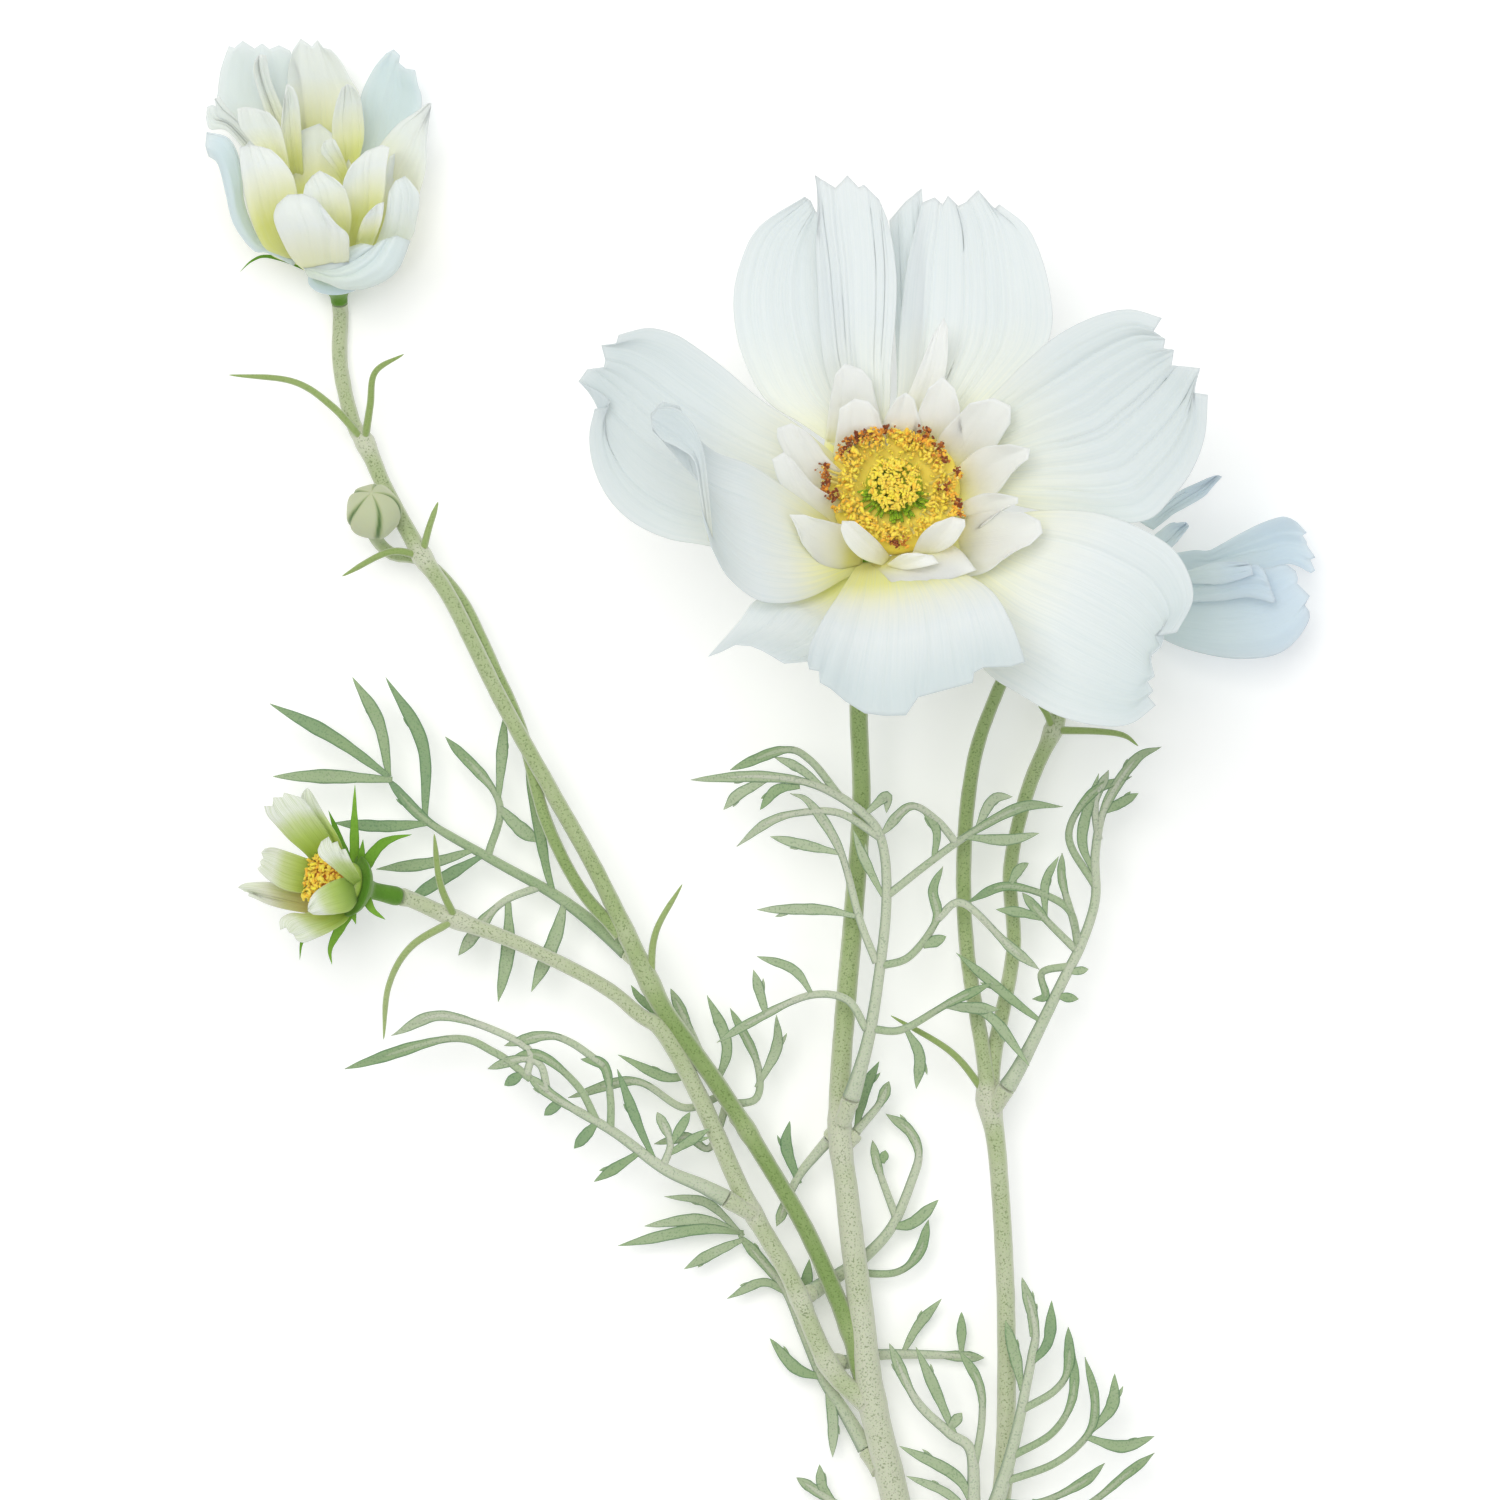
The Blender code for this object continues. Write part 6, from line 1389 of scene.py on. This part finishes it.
def add_turned(piece, bloom, profile, sides=40, tint=0.0):
    """A closed solid of revolution round the bloom's axis, smooth between its (height, radius) pairs."""
    rows = smooth([(height, radius, 0) for height, radius in profile], 0.3)
    angles = np.linspace(0, 2 * math.pi, sides, endpoint=False)
    rings = np.array([[(radius * math.cos(a), radius * math.sin(a), height) for a in angles]
                      for height, radius, _ in rows])
    piece.tube(in_spray(bloom, rings), tint)


def make_calyx(name, bloom):
    piece = Piece()
    add_turned(piece, bloom, CUP_PROFILES.get(name, bloom.calyx), tint=0.75)
    height, radius = bloom.calyx[-2]
    if name in CALYX_ROUTES:
        for route, width in CALYX_ROUTES[name]:
            add_blade(piece, smooth(route, 0.35), width, 0.6, 1.0, rng.uniform(0.2, 0.6), widest=0.2,
                      reach=0.97)
    else:
        for turn, lift, length, width in bloom.bracts:
            out = np.array((math.cos(math.radians(turn)), math.sin(math.radians(turn)), 0))
            slope = math.radians(lift)
            root = out * (radius - 1.2) + (0, 0, height)
            tip = root + out * (length * math.cos(slope)) + (0, 0, length * math.sin(slope))
            middle = (root + tip) / 2 + (0, 0, 0.06 * length)
            curve = in_spray(bloom, smooth([root, middle, tip], 0.4))
            add_blade(piece, curve, width, 0.7, 1.0, rng.uniform(0.2, 0.7), widest=0.3, reach=0.8)
    piece.build(f"calyx_{name}_cup", FINISHES["calyx"], "calyx", f"calyx_{name}")


def crumb_tree(finish):
    """A crumb of pollen or a tiny floret on every point, turned and knobbly at random."""
    tree = bpy.data.node_groups.new("crumbs", "GeometryNodeTree")
    socket(tree, "Geometry", "NodeSocketGeometry")
    socket(tree, "Knob height", "NodeSocketFloat", 0.0004)
    socket(tree, "Seed", "NodeSocketInt", SEED)
    socket(tree, "Geometry", "NodeSocketGeometry", way="OUTPUT")
    given = node(tree, "NodeGroupInput")
    crumb = node(tree, "GeometryNodeMeshUVSphere", {"Radius": 1.0, "Segments": 6, "Rings": 5})
    turn = node(tree, "FunctionNodeRandomValue", {"data_type": "FLOAT_VECTOR"}, {"Seed": (given, "Seed")})
    turn.inputs[1].default_value = (2 * math.pi,) * 3
    size = node(tree, "FunctionNodeRandomValue", {"data_type": "FLOAT"}, {"Seed": (given, "Seed")})
    size.inputs[2].default_value, size.inputs[3].default_value = 0.65, 1.35
    own = node(tree, "GeometryNodeInputNamedAttribute", {"data_type": "FLOAT", "Name": "size"})
    scale = node(tree, "ShaderNodeMath", {"operation": "MULTIPLY"}, {0: (size, 1), 1: (own, "Attribute")})
    stretch = node(tree, "ShaderNodeVectorMath", {"operation": "SCALE", 0: (0.75, 0.75, 1.35)},
                   {"Scale": (scale, "Value")})
    dots = node(tree, "GeometryNodeMeshToPoints", links={"Mesh": (given, "Geometry")})
    placed = node(tree, "GeometryNodeInstanceOnPoints",
                  links={"Points": (dots, "Points"), "Instance": (crumb, "Mesh"),
                  "Rotation": (turn, 0), "Scale": (stretch, "Vector")})
    real = node(tree, "GeometryNodeRealizeInstances", links={"Geometry": (placed, "Instances")})
    where = node(tree, "GeometryNodeInputPosition")
    knobs = node(tree, "ShaderNodeTexNoise", {"Scale": 3300.0, "Detail": 1.0},
                 {"Vector": (where, "Position")})
    level = node(tree, "ShaderNodeMath", {"operation": "SUBTRACT", 1: 0.5}, {0: (knobs, "Fac")})
    push = node(tree, "ShaderNodeMath", {"operation": "MULTIPLY"},
                {0: (level, "Value"), 1: (given, "Knob height")})
    normal = node(tree, "GeometryNodeInputNormal")
    offset = node(tree, "ShaderNodeVectorMath", {"operation": "SCALE"},
                  {0: (normal, "Normal"), "Scale": (push, "Value")})
    moved = node(tree, "GeometryNodeSetPosition",
                 links={"Geometry": (real, "Geometry"), "Offset": (offset, "Vector")})
    even = node(tree, "GeometryNodeSetShadeSmooth", links={"Geometry": (moved, "Geometry")})
    painted = node(tree, "GeometryNodeSetMaterial", {"Material": finish}, {"Geometry": (even, "Geometry")})
    node(tree, "NodeGroupOutput", links={"Geometry": (painted, "Geometry")})
    return tree


def scatter(name, points, radii, tints, finish, slot, *nodes):
    """Crumbs on points of the spray's plan, each with its own radius in millimetres and its own tint."""
    base = bpy.data.meshes.new(name + "_points")
    base.from_pydata(place(points).tolist(), [], [])
    base.attributes.new("size", "FLOAT", "POINT").data.foreach_set("value", np.array(radii, np.float32) * MM)
    base.attributes.new("tint", "FLOAT", "POINT").data.foreach_set("value", np.array(tints, np.float32))
    mesh = run_tree(base, TREES["crumbs"], {"Knob height": 0.0007}, name)
    return dress(bpy.data.objects.new(name, mesh), finish, slot, *nodes)


def ring_points(count, inner, outer, low, high, bulge=0.0):
    """Random points of a flat ring in the bloom's own frame."""
    angle = rng.uniform(0, 2 * math.pi, count)
    radius = np.sqrt(rng.uniform(inner**2, outer**2, count))
    height = rng.uniform(low, high, count) + bulge * (1 - (radius / max(outer, 1e-6)) ** 2)
    return np.column_stack([radius * np.cos(angle), radius * np.sin(angle), height])


def tufts(marks, count, spread, low, high):
    """Small heaps of crumbs round (degrees, radius, tint) marks, and a tint for each crumb."""
    points, tints = [], []
    for degrees, radius, tint in marks:
        a = math.radians(degrees)
        middle = np.array((radius * math.cos(a), radius * math.sin(a), (low + high) / 2))
        points.append(middle + rng.normal(0, (spread, spread, (high - low) / 4), (count, 3)))
        tints.append(tint + rng.normal(0, 0.13, count))
    return np.concatenate(points), np.clip(np.concatenate(tints), 0.3, 1)


def add_spokes(piece, bloom, ends, inner, base, width, tints):
    """Fine filaments from near the bloom's middle out and up to each end."""
    for (x, y, z), tint in zip(ends, tints):
        radius = math.hypot(x, y)
        bottom = np.array((x, y, 0)) * (inner / radius) + (0, 0, base)
        middle = np.array((x, y, 0)) * ((inner + 2.2 * radius) / 3.2 / radius) + (0, 0,
                                                                                  base + (z - base) * 0.5)
        curve = in_spray(bloom, smooth([bottom, middle, (x, y, z)], 0.6))
        girth = np.linspace(width, width * 0.8, len(curve))
        add_rod(piece, curve, girth, girth, 6, tint)


def make_main_disc():
    """The open bloom's eye: green filaments with yellow tips, a yellow ring, and outside it heaps of anthers
    that have gone brown, on pale tubes."""
    eye = EYE_OF_MAIN
    dome = Piece()
    add_turned(dome, eye, [(0.2, 9.9), (2.4, 9.7), (3.3, 8.5), (3.6, 6.4), (3.3, 4.6), (2.8, 3.6)], tint=0.56)
    add_turned(dome, eye, [(1.0, 4.6), (3.4, 4.2), (4.6, 2.9), (5.0, 1.0)], tint=0.3)
    core = ring_points(150, 0, 3.9, 5.6, 6.2, bulge=0.9)
    turns, reach = np.radians(rng.uniform(190, 345, 80)), rng.uniform(3.4, 5.8, 80)
    low = np.column_stack([reach * np.cos(turns), reach * np.sin(turns), 6.3 - 0.32 * reach])
    add_spokes(dome, eye, np.concatenate([core[::2], low]), 1.6, 3.0, 0.23,
               np.concatenate([rng.uniform(0, 0.3, 75), rng.uniform(0, 0.2, 80)]))
    ring = ring_points(110, 5.9, 8.1, 4.6, 5.6)
    add_spokes(dome, eye, ring[::2], 4.8, 2.6, 0.28, rng.uniform(0.55, 0.8, 45))
    heaps, heap_tints = tufts(ANTHER_HEAPS, 14, 0.4, 5.4, 6.6)
    add_spokes(dome, eye, heaps[::7], 6.8, 2.6, 0.26, rng.uniform(0.6, 0.8, len(heaps[::7])))
    dome.build("disc_main_filaments", FINISHES["filaments"], "disc", "disc_main")
    inner = ring_points(430, 5.7, 8.4, 4.5, 6.1)
    between = ring_points(70, 4.2, 6.0, 4.4, 5.1)
    between = between[between[:, 1] > -1.5]
    more_core = ring_points(240, 0, 4.0, 5.6, 6.3, bulge=1.0)
    groups = ((core, 0.0, 0.3, 0.23), (more_core, 0.0, 0.42, 0.2), (inner, 0.05, 0.46, 0.23),
              (ring, 0.05, 0.5, 0.24),
              (between, 0.0, 0.3, 0.17))
    tints = np.concatenate([*(rng.uniform(low_tint, high_tint, len(group)) for group, low_tint, high_tint,
                              _ in groups), heap_tints])
    sizes = np.concatenate([*(rng.uniform(size, size * 1.7, len(group)) for group, _, _, size in groups),
                            rng.uniform(0.16, 0.3, len(heaps))])
    points = in_spray(eye, np.concatenate([*(group for group, *_ in groups), heaps]))
    scatter("disc_main_pollen", points, sizes, tints, FINISHES["pollen"], "disc")


def make_plain_disc(name, bloom, count, radius, top):
    """A closed young disc: a low dome of tiny yellow florets."""
    dome = Piece()
    add_turned(dome, bloom,
               [(1.0, radius * 0.8), (top * 0.68, radius * 0.88), (top * 0.86, radius * 0.66),
                (top * 0.93, radius * 0.2)], tint=0.74)
    dome.build(f"disc_{name}_dome", FINISHES["pollen"], "disc", f"disc_{name}")
    points = in_spray(bloom, ring_points(count, 0, radius * 1.12, top * 0.68, top * 0.92, bulge=top * 0.26))
    scatter(f"disc_{name}_florets", points, rng.uniform(0.2, 0.36, count), rng.uniform(0.0, 0.5, count),
            FINISHES["pollen"], "disc")


def make_bud(name, centre, axis, radius):
    """Overlapping sepals that still close over the bud, with dark seams between them."""
    grid = bud_points(centre, axis, radius, 60, 36)
    rows, columns = grid.shape[:2]
    middle = np.array(centre)
    w = np.linspace(0, 1, columns)[None, :]
    u = np.linspace(0, 1, rows)[:, None]
    seam = np.abs(((w * 5 + 0.12 * np.sin(u * 5)) % 1) - 0.5) * 2
    groove = np.exp(-((1 - seam) / 0.16) ** 2) * np.sin(np.pi * u) ** 0.6
    grid = middle + (grid - middle) * (1 - 0.09 * groove)[..., None]
    piece = Piece()
    piece.tube(grid[:, :-1])
    piece.tints[0][:rows * (columns - 1)] = groove[:, :-1].ravel()
    piece.build(name + "_sepals", FINISHES["bud"], "bud", name)


def add_plate(piece, bloom):
    """The receptacle that the petals grow from."""
    # The left bloom's plate is painted all in the shade colour of its petals, a painted shade; the others take the
    # yellow of the petals' roots.
    add_turned(piece, bloom,
               [(-0.8, bloom.plate * 0.6), (-0.7, bloom.plate * 0.97), (0, bloom.plate),
                (0.8, bloom.plate * 0.9)],
               tint=-1.0 if bloom is BLOOMS["left"] else 1.0)


def make_petals(name, bloom, petals, finish, slot, collar=(), **grid):
    piece = Piece()
    add_plate(piece, bloom)
    for petal in petals[:6]:
        add_petal(piece, petal, **grid)
    piece.build(f"petals_{name}_rays", finish, slot, f"petals_{name}")
    if petals[6:]:
        more = Piece()
        for petal in petals[6:]:
            add_petal(more, petal, **grid)
        more.build(f"petals_{name}_more_rays", finish, slot)
    if collar:
        inner = Piece()
        for petal in collar:
            add_petal(inner, petal, 26, 24, 0.28, folds=1.0)
        inner.build(f"petals_{name}_collar", FINISHES["collar"], slot)


FINISHES = {
    "petal": petal_finish("Fresh white petal",
                          [(0.0, "#EAE882"), (0.14, "#F0EEAA"), (0.3, "#F1F0CA"), (0.5, "#EBEDE0"),
                                                (0.8, "#E3E9E9")], "#CAD8DB", 0.3, 0.26, shade="#BDCBCE"),
    "collar": petal_finish("Fresh white collar petal",
                           [(0.0, "#F3EF84"), (0.16, "#F8F6BE"), (0.36, "#F8F7DE"), (0.6, "#F6F6EC"),
                                                        (0.9, "#F2F4F0")], "#E4E9E4", 0.2, 0.1,
                           shade="#DCDFDD", soft=0.6),
    "petal_left": petal_finish("Half-open white petal",
                               [(0.0, "#DADD72"), (0.16, "#E1E38C"), (0.36, "#E8E9AE"), (0.6, "#E9EBCC"),
                                                         (0.92, "#E5EBE6")], "#D9E4E4", 0.25, 0.1,
                               shade="#C9DBE0", soft=0.5),
    "petal_back": petal_finish("Shaded white petal",
                               [(0.0, "#EEF2EC"), (0.22, "#D2E1E1"), (0.7, "#D5E3E8"), (1.0, "#CDDDEA")],
                               "#C0D4DB", 0.35, 0.16, shade="#B2C9D0"),
    # The darkest olive green at the small bloom's petal roots, by the disc, is partly their own green and partly
    # painted shade.
    "petal_small": petal_finish("Young green-white petal",
                                [(0.0, "#6C9222"), (0.28, "#92B23A"), (0.55, "#B2CA68"), (0.8, "#CCD9A4"),
                                                            (0.98, "#ECF0E8")], "#93AE4A", 0.15, 0.5,
                                shade="#9C7A4E"),
    "stem": green_finish("Downy stem skin",
                         [(0.0, "#C8CDB4"), (0.3, "#B3BF96"), (0.6, "#9BAF76"), (1.0, "#7E9A54")], "#566E34",
                         0.0, sheen_amount=0.5, speck_amount=0.6),
    "bract": green_finish("Downy bract", [(0.1, "#B2BF90"), (0.5, "#98AC6C"), (1.0, "#839C52")], "#6F8B3C",
                          0.0,
                          sheen_amount=0.5, speck_amount=0.4),
    "leaf": green_finish("Downy leaf segment",
                         [(0.0, "#C2CAB2"), (0.3, "#A9B996"), (0.55, "#92AA7E"), (0.8, "#7D9B76"),
                                                (1.0, "#6E958C")], "#48744F", 0.8, sheen_colour="#D0D6C4",
                         sheen_amount=0.35,
                         speck_amount=0.35),
    "calyx": green_finish("Fresh calyx", [(0.0, "#8FBC42"), (0.5, "#669A2A"), (1.0, "#437019")], "#365F16",
                          0.4, sheen_colour="#A6C65E",
                          sheen_amount=0.15, speck_amount=0.15, grain_mm=0.5),
    "filaments": pollen_finish("Filaments",
                               [(0.0, "#7FAF1E"), (0.25, "#A9C62E"), (0.5, "#FCE254"), (0.7, "#F6E884"),
                                (1.0, "#F0ECB4")]),
    "pollen": pollen_finish("Pollen",
                            [(0.0, "#FFEC48"), (0.22, "#FFE65C"), (0.42, "#FFD048"), (0.6, "#FFB43A"),
                             (0.78, "#CC7C30"),
                                       (0.95, "#84411F")]),
    "bud": pollen_finish("Bud sepals", [(0.0, "#BEC5A2"), (0.35, "#A3B083"), (0.8, "#5F7B48")]),
}
TREES = {"crumbs": crumb_tree(FINISHES["pollen"])}

make_stems()
for leaf_name, leaf_shape in LEAVES.items():
    make_leaf(leaf_name, leaf_shape)
make_petals("main", BLOOMS["main"], MAIN_RAYS, FINISHES["petal"], "petals", COLLAR, along=56, across=110,
            folds=1.6)
make_petals("left", BLOOMS["left"], LEFT_PETALS, FINISHES["petal_left"], "petals", along=36, across=40,
            folds=1.2)
make_petals("small", BLOOMS["small"], SMALL_PETALS, FINISHES["petal_small"], "petals_small", along=26,
            across=30,
            thickness=0.35, folds=1.5)
make_petals("back", BLOOMS["back"], BACK_PETALS, FINISHES["petal_back"], "petals_back", along=30, across=34,
            folds=1.4)
for bloom_name, bloom_shape in BLOOMS.items():
    make_calyx(bloom_name, bloom_shape)
make_main_disc()
make_plain_disc("left", BLOOMS["left"], 40, 1.6, 2.4)
make_plain_disc("small", BLOOMS["small"], 360, 3.9, 5.6)
make_plain_disc("back", BLOOMS["back"], 30, 1.8, 2.6)
for bud_name, bud_shape in BUDS.items():
    make_bud(bud_name, *bud_shape)


# ---------------------------------------------------------------- table, light and camera

floor_mesh = bpy.data.meshes.new("table")
floor_mesh.from_pydata([(-4, -4, 0), (4, -4, 0), (4, 4, 0), (-4, 4, 0)], [], [(0, 1, 2, 3)])
floor = bpy.data.objects.new("table", floor_mesh)
bpy.context.scene.collection.objects.link(floor)
paper, _, paper_shader = new_finish("Matte white table", Roughness=0.9, Specular_IOR_Level=0.1,
                                    Emission_Strength=0.14)
paper_shader.inputs["Base Color"].default_value = linear("#FAFAFA")
floor_mesh.materials.append(paper)

world = bpy.data.worlds.new("Studio")
world.use_nodes = True
world.node_tree.nodes["Background"].inputs["Color"].default_value = linear("#F8FAFB")
world.node_tree.nodes["Background"].inputs["Strength"].default_value = 0.64
bpy.context.scene.world = world
bpy.context.scene.view_settings.view_transform = "Standard"


def add_light(name, start, size, watts, colour):
    lamp = bpy.data.lights.new(name, "AREA")
    lamp.shape, lamp.size, lamp.energy = "DISK", size, watts
    lamp.color = linear(colour)[:3]
    made = bpy.data.objects.new(name, lamp)
    made.location = start
    made.rotation_mode = "QUATERNION"
    made.rotation_quaternion = Vector(start).to_track_quat("Z", "Y")
    bpy.context.scene.collection.objects.link(made)


add_light("key", (-0.35, 0.5, 1.8), 1.3, 16.5, "#FFFBF6")
add_light("fill", (0.9, -0.4, 1.5), 1.2, 3, "#F2F7FF")

camera_data = bpy.data.cameras.new("camera")
camera_data.sensor_width = SENSOR
camera_data.lens = SENSOR * (EYE - LEVEL) / FIELD
camera_data.clip_end = 20
camera = bpy.data.objects.new("camera", camera_data)
camera.location = place((0, 0, EYE))
bpy.context.scene.collection.objects.link(camera)
bpy.context.scene.camera = camera
